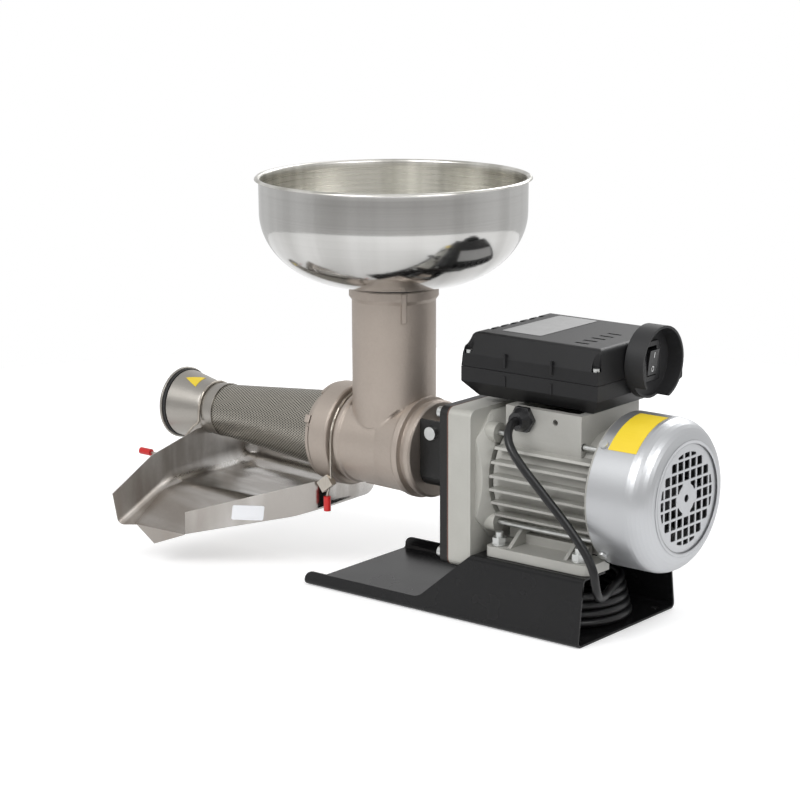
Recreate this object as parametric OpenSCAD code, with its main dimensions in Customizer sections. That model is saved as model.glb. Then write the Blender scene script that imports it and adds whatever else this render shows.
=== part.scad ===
// Electric tomato strainer: a geared motor on a folded steel tray drives an auger
// that presses tomatoes through a perforated cone.
// X runs along the motor shaft, positive towards the fan. Z is up.
// The origin is under the tray's floor, straight below the hopper's axis.

/* [Base tray] */
// Floor in front of the hopper's axis
base_front = 50; // [46:1:80]
// Floor behind the hopper's axis
base_rear = 278; // [276:1:300]
// Width of the tray over its floor bends
base_w = 163; // [158:1:180]
// How far each wall leans inwards up to the shelf
base_lean = 8.5; // [4:0.5:12]
// Thickness of the tray's steel
base_t = 2; // [1.5:0.5:3]
// Height of the shelf that the motor stands on
shelf_z = 64; // [62:1:74]
// Gap between the two shelves
shelf_gap = 76; // [70:1:84]
// Height of the low lip beside the front of the floor
lip_h = 14; // [10:1:20]
// Where the lip starts to rise to the shelf
lip_end_x = 92; // [84:1:98]
// Where the rising edge meets the shelf
knee_x = 151; // [149:1:154]
// Radius of the floor holes
floor_hole_r = 3.25; // [2.5:0.25:4]
// Distance of the floor holes from the hopper's axis
floor_hole_x = 267; // [262:1:270]
// Spacing of the floor holes across the tray
floor_hole_dy = 128; // [120:1:134]

/* [Motor] */
// Height of the shaft over the motor's feet
shaft_h = 71; // [71:1:75]
// Front of the finned frame
frame_x0 = 162; // [161:1:164]
// Length of the finned frame
frame_len = 111; // [108:1:112]
// Outer radius of the frame's round core
frame_r = 54; // [53:1:56]
// Radius over the fin tips
fin_r = 66; // [62:1:68]
// Spacing of the fins
fin_pitch = 12.8; // [11:0.2:14]
// Thickness of a fin
fin_t = 2.6; // [2:0.2:4]
// Radius of the bore that holds the laminations
stator_r = 49; // [47:0.5:50]
// Radius of the rotor
rotor_r = 30; // [26:0.5:32]
// Air gap between rotor and laminations
air_gap = 0.6; // [0.4:0.1:1]
// Length of the laminations
stack_len = 56; // [48:1:60]
// Radius of the motor shaft
shaft_r = 7.5; // [7:0.5:8]
// Distance of a tie rod from the shaft's axis, across and up
rod_d = 43; // [42:0.5:44]
// Radius of a tie rod
rod_r = 2.5; // [2:0.25:3]
// Length of the rear bearing shield
shield_len = 17; // [16:1:19]
// Length of the fan cover
cover_len = 53; // [50:1:60]
// Outer radius of the fan cover
cover_r = 72; // [71:0.5:74]
// Thickness of the fan cover
cover_t = 1.5; // [1:0.25:2]
// Radius of the cover's rounded rear edge
cover_edge_r = 22; // [16:1:26]
// Side of a square hole in the grille
grille_hole = 8.2; // [7:0.2:9]
// Spacing of the holes in the grille
grille_pitch = 10.6; // [10:0.2:12]
// Radius that the field of holes is cut to
grille_r = 43; // [40:1:46]
// Radius of the fan over its blades
fan_r = 60; // [52:1:64]
// Number of blades on the fan
fan_blades = 8; // [6:1:12]
// Half of the spacing of the foot bolts along the motor
foot_bolt_dx = 45; // [43:1:46]
// Half of the spacing of the foot bolts across the motor
foot_bolt_dy = 56; // [54:0.5:58]
// Thickness of a foot
foot_t = 10; // [8:1:12]
// Half of the width of the pad under the switch box
pad_half = 47; // [46:1:49]
// Height of the pad's top over the shaft's axis
pad_h = 72; // [71:1:74]

/* [Gearbox] */
// Front face of the gear cover
plate_x = 111; // [110:0.5:112]
// Thickness of the gear cover
plate_t = 8.5; // [8:0.5:9]
// Thickness of the gasket behind the cover
gasket_t = 1.5; // [1:0.5:2]
// Width of the gearbox
box_w = 139; // [136:1:142]
// Underside of the gearbox
box_z0 = 48; // [46:1:49]
// Top of the gearbox
box_z1 = 201; // [199:1:203]
// Length of the gearbox's square part
box_len = 26; // [25:1:27]
// Wall of the gearbox
box_wall = 4; // [3:0.5:4.5]
// Module of the fast gears
fast_m = 1.5; // [1.5:0.1:1.5]
// Teeth of the pinion on the motor shaft
fast_z1 = 14; // [14:1:14]
// Teeth of the wheel on the layshaft
fast_z2 = 46; // [46:1:46]
// Width of the fast gears
fast_w = 9; // [8:0.5:9]
// Module of the slow gears
slow_m = 2; // [2:0.1:2]
// Teeth of the pinion on the layshaft
slow_z1 = 13; // [13:1:13]
// Teeth of the wheel on the output shaft
slow_z2 = 35; // [35:1:35]
// Width of the slow gears
slow_w = 10; // [9:0.5:10]
// Radius of the layshaft
lay_r = 6; // [5.5:0.5:6.5]
// Radius of the output shaft
out_r = 10; // [9:0.5:10.5]

/* [Strainer body] */
// Outer radius of the throat
throat_r = 41.2; // [40:0.2:42]
// Top of the throat
throat_top = 294; // [284:1:304]
// Thickness of the gasket between throat and bowl
mouth_gasket_t = 2; // [1.5:0.5:2.5]
// Wall of the throat and barrel
cast_t = 4.2; // [3.5:0.1:5]
// Front end of the barrel's ring
ring_x0 = -70; // [-72:1:-66]
// Length of the ring
ring_len = 23; // [20:1:24]
// Radius of the ring
ring_r = 51.5; // [50:0.5:53]
// Inner radius of the barrel
barrel_r = 38; // [37.6:0.2:39]
// Rear face of the large rear flange
flange_x = 42; // [40:1:43]
// Radius of the large rear flange
flange_r = 50; // [49:0.5:51]
// Radius of the tail that the cradle holds
tail_r = 27.7; // [26:0.1:29]
// Length of the tail behind the flanges
tail_len = 36; // [34:1:37]
// Wall of the cradle
cradle_t = 3; // [2.5:0.5:4]

/* [Hopper] */
// Radius of the bowl over its rolled rim
bowl_rim_r = 135; // [125:1:145]
// Height of the rim
bowl_top = 402.4; // [390:0.2:415]
// Radius of the bowl's straight wall
bowl_r = 130.5; // [120:0.5:140]
// Height where the wall turns into the floor
bowl_bend_z = 368; // [355:1:380]
// Thickness of the bowl's sheet
bowl_t = 1.2; // [0.8:0.1:1.6]
// Depth of the bowl's spigot in the throat
spigot_h = 22; // [16:1:30]

/* [Filter and auger] */
// Big end of the perforated cone
cone_x1 = -79; // [-82:1:-77]
// Small end of the perforated cone
cone_x0 = -232; // [-236:1:-228]
// Radius of the cone's big end
cone_r1 = 39.6; // [39.4:0.1:39.8]
// Radius of the cone's small end
cone_r0 = 26; // [25:0.5:27]
// Thickness of the cone's sheet
cone_t = 0.8; // [0.6:0.1:1]
// Gap between the auger and what it turns in
auger_gap = 0.9; // [0.7:0.1:1.2]
// Pitch of the auger's flight
auger_pitch = 40; // [34:1:48]
// Radius of the auger's core in the barrel
core_r = 17; // [14:0.5:19]
// Radius of the auger's core at its tip
tip_r = 11; // [9:0.5:13]
// Thickness of the flight at its edge
flight_t = 3.5; // [2.5:0.5:5]
// Radius of the auger's shank
shank_r = 13; // [12.5:0.5:13.5]
// Side of the square drive
square_w = 14; // [12:0.5:14.5]
// Outer end of the waste cup
cup_x0 = -288; // [-292:1:-284]
// Radius of the waste cup's mouth
cup_r = 35; // [32:0.5:37]

/* [Drip tray] */
// Thickness of the drip tray's sheet
drip_t = 1; // [0.8:0.1:1.2]
// Plane of the rear wall
drip_x1 = -60; // [-62:1:-58]
// Plane of the end wall
drip_x0 = -243; // [-244:1:-242]
// Far side of the tray
drip_far = 50; // [48:1:54]
// Near end of the rear wall
drip_near = 46; // [44:1:48]
// Height of the floor at the rear wall
drip_z = 64; // [62:1:66]
// Height of the rear wall's top
drip_top = 97; // [95:1:98]

/* [Switch box] */
// Front end of the switch box
sbox_x0 = 115; // [112:1:120]
// Length of the switch box
sbox_len = 154.5; // [150:0.5:156]
// Near face of the switch box
sbox_near = 42; // [41:1:48]
// Far face of the switch box
sbox_far = 100; // [92:1:104]
// Height of the seam over the underside
seam_h = 29; // [26:1:32]
// Height of the box
sbox_h = 61; // [58:1:64]
// Wall of the plastic parts
plastic_t = 2.5; // [2:0.25:3]
// Radius of the guard round the rocker switch
hood_r = 34.5; // [33:0.5:36]
// Depth of the guard
hood_len = 20; // [16:1:24]
// Height of the rocker switch over the shaft's axis
rocker_h = 113; // [112:1:114]
// Place of the rocker switch across the box
rocker_y = 35; // [33:1:38]

/* [Cord] */
// Diameter of the power cord
cord_d = 8; // [7:0.2:9]
// Height of the cable gland over the shaft's axis
gland_h = 61.5; // [60:0.5:62]
// Place of the cable gland along the motor
gland_x = 192; // [190:1:200]
// Turns in the coil
coil_turns = 4; // [3:1:4]
// Radius of the coil's lowest turn
coil_r = 61; // [56:1:63]
// How much smaller each higher turn is
coil_step = 2; // [1:0.5:3]

/* [Hidden] */
$fn = 72;
e = 0.01;
seat = 0.3;
fit = 0.05;

motor_z = shelf_z + shaft_h;
fast_a = fast_m * (fast_z1 + fast_z2) / 2;
slow_a = slow_m * (slow_z1 + slow_z2) / 2;
lay_z = motor_z - fast_a;
out_z = lay_z + slow_a;
housing_x = plate_x + plate_t + gasket_t;
housing_end = housing_x + box_len;
frame_end = frame_x0 + frame_len;
shield_end = frame_end + shield_len - 2;
cover_x0 = shield_end;
cover_end = cover_x0 + cover_len;
cover_front = cover_x0 - 9;
foot_mid = frame_x0 + 54;
pad_z = motor_z + pad_h;
gland_z = motor_z + gland_h;
stack_x = frame_x0 + (frame_len - stack_len) / 2;
flange2_x = flange_x + 14;
tail_end = flange2_x + tail_len;
rear_bearing_x = shield_end - 12;

function unit_of(v) = v / norm(v);
function at_turn(c, r, a) = c + r * [cos(a), sin(a)];
function turn_of(v) = atan2(v[1], v[0]);
function wrap(a) = a > 180 ? a - 360 : a < -180 ? a + 360 : a;

// An arc of radius r that rounds the corner b between a and c
function corner(a, b, c, r, n = 5) =
    let (u = unit_of(a - b), w = unit_of(c - b), half = acos(max(-1, min(1, u * w))) / 2)
    r <= 0 || half > 89 ? [b] :
    let (o = b + unit_of(u + w) * r / sin(half), s = b + u * r / tan(half),
         f = b + w * r / tan(half), a0 = turn_of(s - o), da = wrap(turn_of(f - o) - a0))
    [for (i = [0 : n]) at_turn(o, r, a0 + da * i / n)];

// A closed outline with each corner rounded by its own radius
function rounded(pts, radii) =
    let (n = len(pts))
    [for (i = [0 : n - 1], p = corner(pts[(i + n - 1) % n], pts[i], pts[(i + 1) % n], radii[i])) p];

// An open path with its inner corners rounded
function rounded_path(pts, r) =
    let (n = len(pts))
    concat([pts[0]], [for (i = [1 : n - 2], p = corner(pts[i - 1], pts[i], pts[i + 1], r)) p],
           [pts[n - 1]]);

// The path moved to its left by t
function left_of(v) = [-v[1], v[0]];
function beside(pts, t) =
    let (n = len(pts))
    [for (i = [0 : n - 1])
        let (u = unit_of(pts[max(i, 1)] - pts[max(i, 1) - 1]),
             w = unit_of(pts[min(i, n - 2) + 1] - pts[min(i, n - 2)]),
             m = unit_of(left_of(u) + left_of(w)))
        pts[i] + m * t / (m * left_of(u))];

// The outline of a strip of sheet that bends to its left along a path
function strip(pts, t, r_in) =
    concat(rounded_path(pts, r_in + t), [for (p = reverse(rounded_path(beside(pts, t), r_in))) p]);
function reverse(v) = [for (i = [len(v) - 1 : -1 : 0]) v[i]];

// Extrudes a Y-Z outline along X
module along_x(x0, x1) {
    translate([x0, 0, 0]) rotate([90, 0, 90]) linear_extrude(x1 - x0) children();
}

// Extrudes an X-Z outline along Y
module along_y(y0, y1) {
    translate([0, y1, 0]) rotate([90, 0, 0]) linear_extrude(y1 - y0) children();
}

// Turns an outline of (radius, place) about an axis along X at height z
module lathe_x(z) {
    translate([0, 0, z]) rotate([90, 0, 90]) rotate_extrude() children();
}

module rod_x(x0, x1, r, y = 0, z = 0) {
    translate([x0, y, z]) rotate([0, 90, 0]) cylinder(r = r, h = x1 - x0);
}

module rod_y(y0, y1, r, x = 0, z = 0) {
    translate([x, y1, z]) rotate([90, 0, 0]) cylinder(r = r, h = y1 - y0);
}

module rod_z(z0, z1, r, x = 0, y = 0) {
    translate([x, y, z0]) cylinder(r = r, h = z1 - z0);
}

module tube_x(x0, x1, r, r_in, y = 0, z = 0) {
    difference() {
        rod_x(x0, x1, r, y, z);
        rod_x(x0 - 1, x1 + 1, r_in, y, z);
    }
}

module block(lo, hi) {
    translate(lo) cube(hi - lo);
}

// A six-sided head or nut along X
module hex_x(x0, x1, across, y, z) {
    translate([x0, y, z]) rotate([0, 90, 0]) cylinder(d = across / cos(30), h = x1 - x0, $fn = 6);
}

module hex_z(z0, z1, across, x, y) {
    translate([x, y, z0]) cylinder(d = across / cos(30), h = z1 - z0, $fn = 6);
}

module hex_y(y0, y1, across, x, z) {
    translate([x, y1, z]) rotate([90, 0, 0]) cylinder(d = across / cos(30), h = y1 - y0, $fn = 6);
}

// Folded steel tray: a channel whose walls lean in and turn into two shelves
tray_path = [
    [-shelf_gap / 2, shelf_z], [-base_w / 2 + base_lean, shelf_z], [-base_w / 2, 0],
    [base_w / 2, 0], [base_w / 2 - base_lean, shelf_z], [shelf_gap / 2, shelf_z]
];
tray_side = rounded(
    [[-base_front, -1], [-base_front, lip_h], [lip_end_x, lip_h], [knee_x, shelf_z + 0.6],
     [base_rear, shelf_z + 0.6], [base_rear, -1]],
    [0, 9, 20, 8, 0, 0]);

module base_tray() {
    color([0.05, 0.05, 0.055]) difference() {
        intersection() {
            along_x(-base_front, base_rear) polygon(strip(tray_path, base_t, 3));
            along_y(-base_w, base_w) polygon(tray_side);
        }
        for (s = [-1, 1]) rod_z(-1, base_t + 1, floor_hole_r, floor_hole_x, s * floor_hole_dy / 2);
        for (p = foot_bolts_at) rod_z(shelf_z - base_t - 1, shelf_z + 1, 4.2, p[0], p[1]);
    }
}

// Gearbox: cover, gasket and cast housing share one outline
foot_bolts_at = [for (dx = [-1, 1], s = [-1, 1]) [foot_mid + dx * foot_bolt_dx, s * foot_bolt_dy]];
box_outline = rounded(
    [[-box_w / 2, box_z0], [box_w / 2, box_z0], [box_w / 2, box_z1], [-box_w / 2, box_z1]],
    [8, 8, 8, 8]);
box_cavity = rounded(
    [[-box_w / 2 + 12, box_z0 + box_wall], [box_w / 2 - 12, box_z0 + box_wall],
     [box_w / 2 - 12, box_z1 - 12], [-box_w / 2 + 12, box_z1 - 12]],
    [30, 30, 12, 12]);
box_bolts_at = [for (s = [-1, 1], z = [box_z0 + 10, box_z1 - 7]) [s * (box_w / 2 - 7), z]];
box_bolt_r = 3;
hub_r = 26;
hub_x0 = tail_end + 2;
out_bearing_w = 12;
out_bearing_r = 21;
lay_bearing_r = 14;
lay_bearing_w = 8;
rear_wall_x = housing_end - 2;
boss_x = frame_x0 - 2;
motor_bearing_r = 17.5;
motor_bearing_w = 11;

module gear_cover() {
    color([0.07, 0.07, 0.075]) difference() {
        union() {
            along_x(plate_x, plate_x + plate_t) polygon(box_outline);
            rod_x(hub_x0, plate_x + plate_t, hub_r, 0, out_z);
        }
        rod_x(hub_x0 + 3, plate_x + plate_t + 1, out_bearing_r + fit, 0, out_z);
        rod_x(hub_x0 - 1, plate_x, 16 + fit, 0, out_z);
        rod_x(plate_x + 2, plate_x + plate_t + 1, lay_bearing_r + fit, 0, lay_z);
        for (p = box_bolts_at) rod_x(plate_x - 1, housing_x, box_bolt_r + 0.3, p[0], p[1]);
    }
}

module cover_gasket() {
    color([0.42, 0.2, 0.17]) difference() {
        along_x(plate_x + plate_t, housing_x) polygon(box_outline);
        along_x(plate_x, housing_x + 1) polygon(box_cavity);
        for (p = box_bolts_at) rod_x(plate_x - 1, housing_x + 1, box_bolt_r + 0.3, p[0], p[1]);
    }
}

module gear_housing() {
    color([0.66, 0.66, 0.64]) difference() {
        union() {
            along_x(housing_x, housing_end) polygon(box_outline);
            // the casting narrows to the round motor frame
            intersection() {
                lathe_x(motor_z) polygon([[0, housing_end - e], [neck_wide, housing_end - e],
                    [neck_wide, housing_end + 1], [neck_slim, housing_end + neck_drop],
                    [0, housing_end + neck_drop]]);
                along_x(housing_end - 1, housing_end + neck_drop + 1) polygon(neck_outline(0));
            }
            for (s = [-1, 1], t = [-1, 1])
                rod_x(housing_end - 4, boss_x + 1, 9.5, s * rod_d, motor_z + t * rod_d);
        }
        along_x(housing_x - 1, rear_wall_x) polygon(box_cavity);
        rod_x(rear_wall_x - 1, frame_x0, motor_bearing_r + fit, 0, motor_z);
        rod_x(rear_wall_x - 1, rear_wall_x + lay_bearing_w, lay_bearing_r + fit, 0, lay_z);
        for (p = box_bolts_at) rod_x(housing_x - 1, housing_end - 5, box_bolt_r, p[0], p[1]);
        for (s = [-1, 1], t = [-1, 1])
            rod_x(housing_end - 3, boss_x + 2, rod_r + 0.1, s * rod_d, motor_z + t * rod_d);
    }
}

// The housing's neck, a cone with eight flats that narrows towards the frame
neck_wide = 72;
neck_slim = 57;
neck_drop = 12;
function neck_outline(d) =
    let (h = 62 - d, c = 24 - d / 2)
    [for (p = [[-h, -h + c], [-h + c, -h], [h - c, -h], [h, -h + c], [h, h - c], [h - c, h],
               [-h + c, h], [-h, h - c]]) [p[0], motor_z + p[1]]];

module gearbox_bolts() {
    color([0.7, 0.71, 0.72]) for (p = box_bolts_at) {
        rod_x(plate_x - 5.5, plate_x - seat, 5.2, p[0], p[1]);
        rod_x(plate_x - seat - e, housing_end - 8, box_bolt_r - 0.1, p[0], p[1]);
    }
}

// Cradle: a U of steel, open above, that holds the tail of the strainer body
cradle_h = 36;
cradle_in = tail_r + seat;
cradle_x0 = flange2_x + 1;
cradle_bolt_x = cradle_x0 + 14;
cradle_bolt_z = out_z + 24;
cradle_out = cradle_in + cradle_t;

module cradle() {
    color([0.06, 0.06, 0.065]) difference() {
        along_x(cradle_x0, plate_x) polygon(strip(
            [[-cradle_out, out_z + cradle_h], [-cradle_out, out_z - cradle_out],
             [cradle_out, out_z - cradle_out], [cradle_out, out_z + cradle_h]], cradle_t, 12));
        rod_y(-cradle_out - 1, cradle_out + 1, 4.2, cradle_bolt_x, cradle_bolt_z);
    }
}

module cradle_bolt() {
    color([0.78, 0.79, 0.8]) {
        rod_y(-cradle_out - 3.5, -cradle_out - 0.2, 6.5, cradle_bolt_x, cradle_bolt_z);
        rod_y(-cradle_out - 0.5, cradle_out + 8, 4, cradle_bolt_x, cradle_bolt_z);
        hex_y(cradle_out + 0.2, cradle_out + 6.5, 13, cradle_bolt_x, cradle_bolt_z);
    }
}

// Spur gears. A flank follows the involute of its base circle.
gear_clear = 0.25;
backlash = 0.16;
function involute(t) = tan(t) * 180 / PI - t;
function tooth(m, z, k) =
    let (rp = m * z / 2, rb = rp * cos(20), ra = rp + 0.92 * m, rf = rp - (1 + gear_clear) * m,
         half = 90 / z - backlash / 2 / rp * 180 / PI,
         r0 = max(rb, rf), base_a = half + involute(20),
         right = [for (i = [0 : 3]) let (r = r0 + (ra - r0) * i / 3)
                  [r, base_a - involute(acos(min(1, rb / r)))]])
    concat([at_turn([0, 0], rf, k - base_a)], [for (p = right) at_turn([0, 0], p[0], k - p[1])],
           [for (p = reverse(right)) at_turn([0, 0], p[0], k + p[1])],
           [at_turn([0, 0], rf, k + base_a)]);

// A gear on an axis along X, with a tooth or a gap pointing the way that start says
module gear(m, z, x0, w, axis_z, start) {
    translate([0, 0, axis_z]) along_x(x0, x0 + w)
        polygon([for (i = [0 : z - 1], p = tooth(m, z, start + i * 360 / z)) p]);
}

fast_x = housing_end - 14;
slow_x = housing_x + 1;
pinion_bore = 5;

module motor_pinion() {
    color([0.55, 0.56, 0.58]) difference() {
        gear(fast_m, fast_z1, fast_x, fast_w, motor_z, -90);
        rod_x(fast_x - 1, fast_x + fast_w + 1, pinion_bore + fit, 0, motor_z);
    }
}

module fast_wheel() {
    color([0.5, 0.51, 0.52]) difference() {
        gear(fast_m, fast_z2, fast_x, fast_w, lay_z, 90 + 180 / fast_z2);
        rod_x(fast_x - 1, fast_x + fast_w + 1, lay_r + fit, 0, lay_z);
        tube_x(fast_x + fast_w - 3, fast_x + fast_w + 1, 29, 13, 0, lay_z);
        tube_x(fast_x - 1, fast_x + 2, 29, 16, 0, lay_z);
    }
}

module slow_pinion() {
    color([0.55, 0.56, 0.58]) difference() {
        union() {
            gear(slow_m, slow_z1, slow_x, slow_w, lay_z, 90);
            rod_x(slow_x + slow_w - e, fast_x - seat, 10, 0, lay_z);
        }
        rod_x(slow_x - 1, fast_x + 1, lay_r + fit, 0, lay_z);
    }
}

module output_wheel() {
    color([0.5, 0.51, 0.52]) difference() {
        gear(slow_m, slow_z2, slow_x, slow_w, out_z, -90 + 180 / slow_z2);
        rod_x(slow_x - 1, slow_x + slow_w + 1, out_r + fit, 0, out_z);
    }
}

module layshaft() {
    color([0.6, 0.61, 0.63]) rod_x(plate_x + 2.5, rear_wall_x + lay_bearing_w - 0.5, lay_r, 0, lay_z);
}

// A bearing drawn as one ring with a groove on each face
module bearing(x0, w, r, r_in, z) {
    difference() {
        tube_x(x0, x0 + w, r, r_in + fit, 0, z);
        tube_x(x0 - 1, x0 + 0.8, r * 0.82, (r + r_in) * 0.42, 0, z);
        tube_x(x0 + w - 0.8, x0 + w + 1, r * 0.82, (r + r_in) * 0.42, 0, z);
    }
}

module layshaft_bearings() {
    color([0.72, 0.73, 0.75]) {
        bearing(plate_x + 2, plate_t - 2, lay_bearing_r, lay_r, lay_z);
        bearing(rear_wall_x, lay_bearing_w, lay_bearing_r, lay_r, lay_z);
    }
}

module output_bearings() {
    color([0.72, 0.73, 0.75]) {
        bearing(hub_x0 + 3, out_bearing_w, out_bearing_r, out_r, out_z);
        bearing(plate_x + plate_t - 9, 9, out_bearing_r, out_r, out_z);
    }
}

// The output shaft ends in a square that drives the auger
socket_x0 = flange2_x + 2;
socket_x1 = hub_x0 - 6;
square_x0 = socket_x0 + 10;

module output_shaft() {
    color([0.6, 0.61, 0.63]) union() {
        rod_x(socket_x1 + 1, fast_x - 2, out_r, 0, out_z);
        block([square_x0, -square_w / 2, out_z - square_w / 2],
              [socket_x1 + 1 + e, square_w / 2, out_z + square_w / 2]);
    }
}

module shaft_seal() {
    color([0.12, 0.12, 0.12]) tube_x(hub_x0 - 1, hub_x0 + 3 - fit, 16, out_r + fit, 0, out_z);
}

// Motor: rotor, frame, shields and fan
core_x1 = stack_x + stack_len;
fan_x0 = shield_end + 6;
fan_len = 24;
shaft_tip = fan_x0 + 18;

module rotor_shaft() {
    color([0.6, 0.61, 0.63]) union() {
        rod_x(fast_x, rear_wall_x, pinion_bore, 0, motor_z);
        rod_x(rear_wall_x - e, shaft_tip, shaft_r, 0, motor_z);
    }
}

module rotor_core() {
    color([0.45, 0.45, 0.46]) difference() {
        union() {
            rod_x(stack_x, core_x1, rotor_r, 0, motor_z);
            tube_x(stack_x - 8, core_x1 + 8, rotor_r - 1.5, rotor_r - 9, 0, motor_z);
        }
        rod_x(stack_x - 1, core_x1 + 1, shaft_r + fit, 0, motor_z);
    }
}

module motor_bearings() {
    color([0.72, 0.73, 0.75]) {
        bearing(rear_wall_x + 1, motor_bearing_w, motor_bearing_r, shaft_r, motor_z);
        bearing(rear_bearing_x, motor_bearing_w, motor_bearing_r, shaft_r, motor_z);
    }
}

// One cooling fin on each side of the frame, cut to the round of the fin tips
module fins() {
    intersection() {
        rod_x(frame_x0 + 4, frame_end, fin_r, 0, motor_z);
        for (k = [-2.5 : 1 : 2.5])
            block([frame_x0, -fin_r, motor_z + k * fin_pitch - fin_t / 2],
                  [frame_end + 5, fin_r, motor_z + k * fin_pitch + fin_t / 2]);
    }
}

pad_x0 = frame_x0 + 9;
pad_x1 = frame_x0 + 94;

module stator_frame() {
    color([0.68, 0.68, 0.65]) difference() {
        union() {
            rod_x(frame_x0, frame_end, frame_r, 0, motor_z);
            fins();
            block([pad_x0, -pad_half, motor_z + 30], [pad_x1, pad_half, pad_z]);
            for (s = [-1, 1])
                block([frame_x0, s * 24 - 3, shelf_z + foot_t], [frame_end, s * 24 + 3, motor_z - 30]);
        }
        rod_x(frame_x0 - 1, frame_end + 6, stator_r + fit, 0, motor_z);
        for (s = [-1, 1], t = [-1, 1])
            rod_x(frame_x0 - 1, frame_end + 6, rod_r + 1.2, s * rod_d, motor_z + t * rod_d);
        block([pad_x0 + 8, -pad_half + 8, motor_z + 56], [pad_x1 - 8, pad_half - 8, pad_z + 1]);
        block([gland_x - 13, -pad_half + 8, gland_z - 12], [gland_x + 13, -pad_half + 13.5, pad_z + 1]);
        rod_y(-pad_half - 1, -pad_half + 9, 8.2, gland_x, gland_z);
        rod_y(-pad_half - 1, -pad_half + 9, 2.8, gland_x + 35, gland_z + 1);
    }
}

module stator_core() {
    color([0.4, 0.4, 0.42]) tube_x(stack_x, core_x1, stator_r, rotor_r + air_gap, 0, motor_z);
}

winding_l = 15;

module stator_winding() {
    color([0.72, 0.4, 0.2])
        for (x = [stack_x - winding_l, core_x1]) lathe_x(motor_z)
            polygon(rounded([[33, x], [46, x], [46, x + winding_l], [33, x + winding_l]], [5, 5, 5, 5]));
}

// Cast feet with ribs, one along each side of the frame
foot_y0 = 30;
foot_y1 = 66;
foot_x0 = frame_x0 - 1;
foot_x1 = foot_mid + 62;

module foot(s) {
    mirror([0, s > 0 ? 1 : 0, 0]) difference() {
        union() {
            translate([0, 0, shelf_z + seat]) linear_extrude(foot_t - seat) polygon(rounded(
                [[foot_x0, -foot_y1], [foot_x1, -foot_y1], [foot_x1, -foot_y0], [foot_x0, -foot_y0]],
                [6, 10, 2, 2]));
            block([foot_x0 + 16, -foot_y0 - 6, shelf_z + foot_t - 1],
                  [foot_x1 - 20, -foot_y0, motor_z - frame_r + 2]);
            for (x = [foot_x0 + 22, foot_x1 - 32]) along_x(x, x + 4)
                polygon([[-foot_y1 + 5, shelf_z + foot_t - 1], [-foot_y0, shelf_z + foot_t - 1],
                         [-foot_y0, motor_z - frame_r + 8], [-foot_y0 - 10, motor_z - frame_r + 8]]);
        }
        for (p = foot_bolts_at) rod_z(shelf_z, shelf_z + foot_t + 1, 4.2, p[0], -foot_bolt_dy);
        rod_x(foot_x0 - 1, foot_x1 + 1, frame_r + seat, 0, motor_z);
        rod_x(frame_end - 0.5, foot_x1 + 1, cover_r + 0.6, 0, motor_z);
    }
}

module motor_feet() {
    color([0.68, 0.68, 0.65]) for (s = [-1, 1]) foot(s);
}

module foot_bolts() {
    color([0.78, 0.79, 0.76]) for (p = foot_bolts_at) {
        hex_z(shelf_z - base_t - 6, shelf_z - base_t - 0.2, 12, p[0], p[1]);
        rod_z(shelf_z - base_t - 1, shelf_z + foot_t + 13, 3.8, p[0], p[1]);
        rod_z(shelf_z + foot_t + 0.2, shelf_z + foot_t + 2, 7, p[0], p[1]);
        hex_z(shelf_z + foot_t + 2 - e, shelf_z + foot_t + 8, 12, p[0], p[1]);
    }
}

module rear_shield() {
    color([0.66, 0.66, 0.64]) difference() {
        union() {
            rod_x(frame_end + 3, shield_end, cover_r - cover_t - seat, 0, motor_z);
            rod_x(frame_end + seat, frame_end + 4, fin_r - 2, 0, motor_z);
        }
        tube_x(frame_end - 1, shield_end - 4, stator_r - 2, 24, 0, motor_z);
        rod_x(rear_bearing_x, shield_end + 1, motor_bearing_r + fit, 0, motor_z);
        rod_x(frame_end - 1, shield_end + 1, motor_bearing_r - 4, 0, motor_z);
        for (s = [-1, 1], t = [-1, 1])
            rod_x(frame_end - 1, shield_end + 1, rod_r + 0.2, s * rod_d, motor_z + t * rod_d);
    }
}

module tie_rods() {
    color([0.75, 0.76, 0.76]) for (s = [-1, 1], t = [-1, 1]) {
        rod_x(housing_end - 2, shield_end + 0.5, rod_r, s * rod_d, motor_z + t * rod_d);
        hex_x(shield_end + 0.2, shield_end + 4, 8, s * rod_d, motor_z + t * rod_d);
    }
}

module cooling_fan() {
    color([0.12, 0.12, 0.13]) difference() {
        union() {
            rod_x(fan_x0, fan_x0 + fan_len, 14, 0, motor_z);
            rod_x(fan_x0, fan_x0 + 2.5, fan_r - 2, 0, motor_z);
            for (i = [0 : fan_blades - 1]) translate([0, 0, motor_z]) rotate([i * 360 / fan_blades, 0, 0])
                block([fan_x0 + 1, 12, -1.2], [fan_x0 + fan_len, fan_r, 1.2]);
        }
        rod_x(fan_x0 - 1, shaft_tip + 0.5, shaft_r + fit, 0, motor_z);
    }
}

// Drawn steel cover. Its flat end is set in a little and carries the grille.
recess_r = 54;
recess = 1.5;
grille_x1 = cover_end - recess;
cover_profile = concat(
    [[cover_r - cover_t, cover_front], [cover_r, cover_front]],
    corner([cover_r, cover_x0], [cover_r, cover_end], [0, cover_end], cover_edge_r, 9),
    [[recess_r, cover_end], [recess_r - 2, grille_x1], [recess_r - 4, grille_x1],
     [recess_r - 4, grille_x1 - cover_t]],
    reverse(corner([cover_r - cover_t, cover_x0], [cover_r - cover_t, grille_x1 - cover_t],
                   [0, grille_x1 - cover_t], cover_edge_r - cover_t, 9)));

module fan_cover() {
    color([0.74, 0.75, 0.77]) lathe_x(motor_z) polygon(cover_profile);
}

// The grid of square holes is cut to a round field with a plain middle
hub_disc_r = 14;
function in_grille(i, j) = norm([i, j]) > 1.3 && norm([i, j]) < 4.2;

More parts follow.
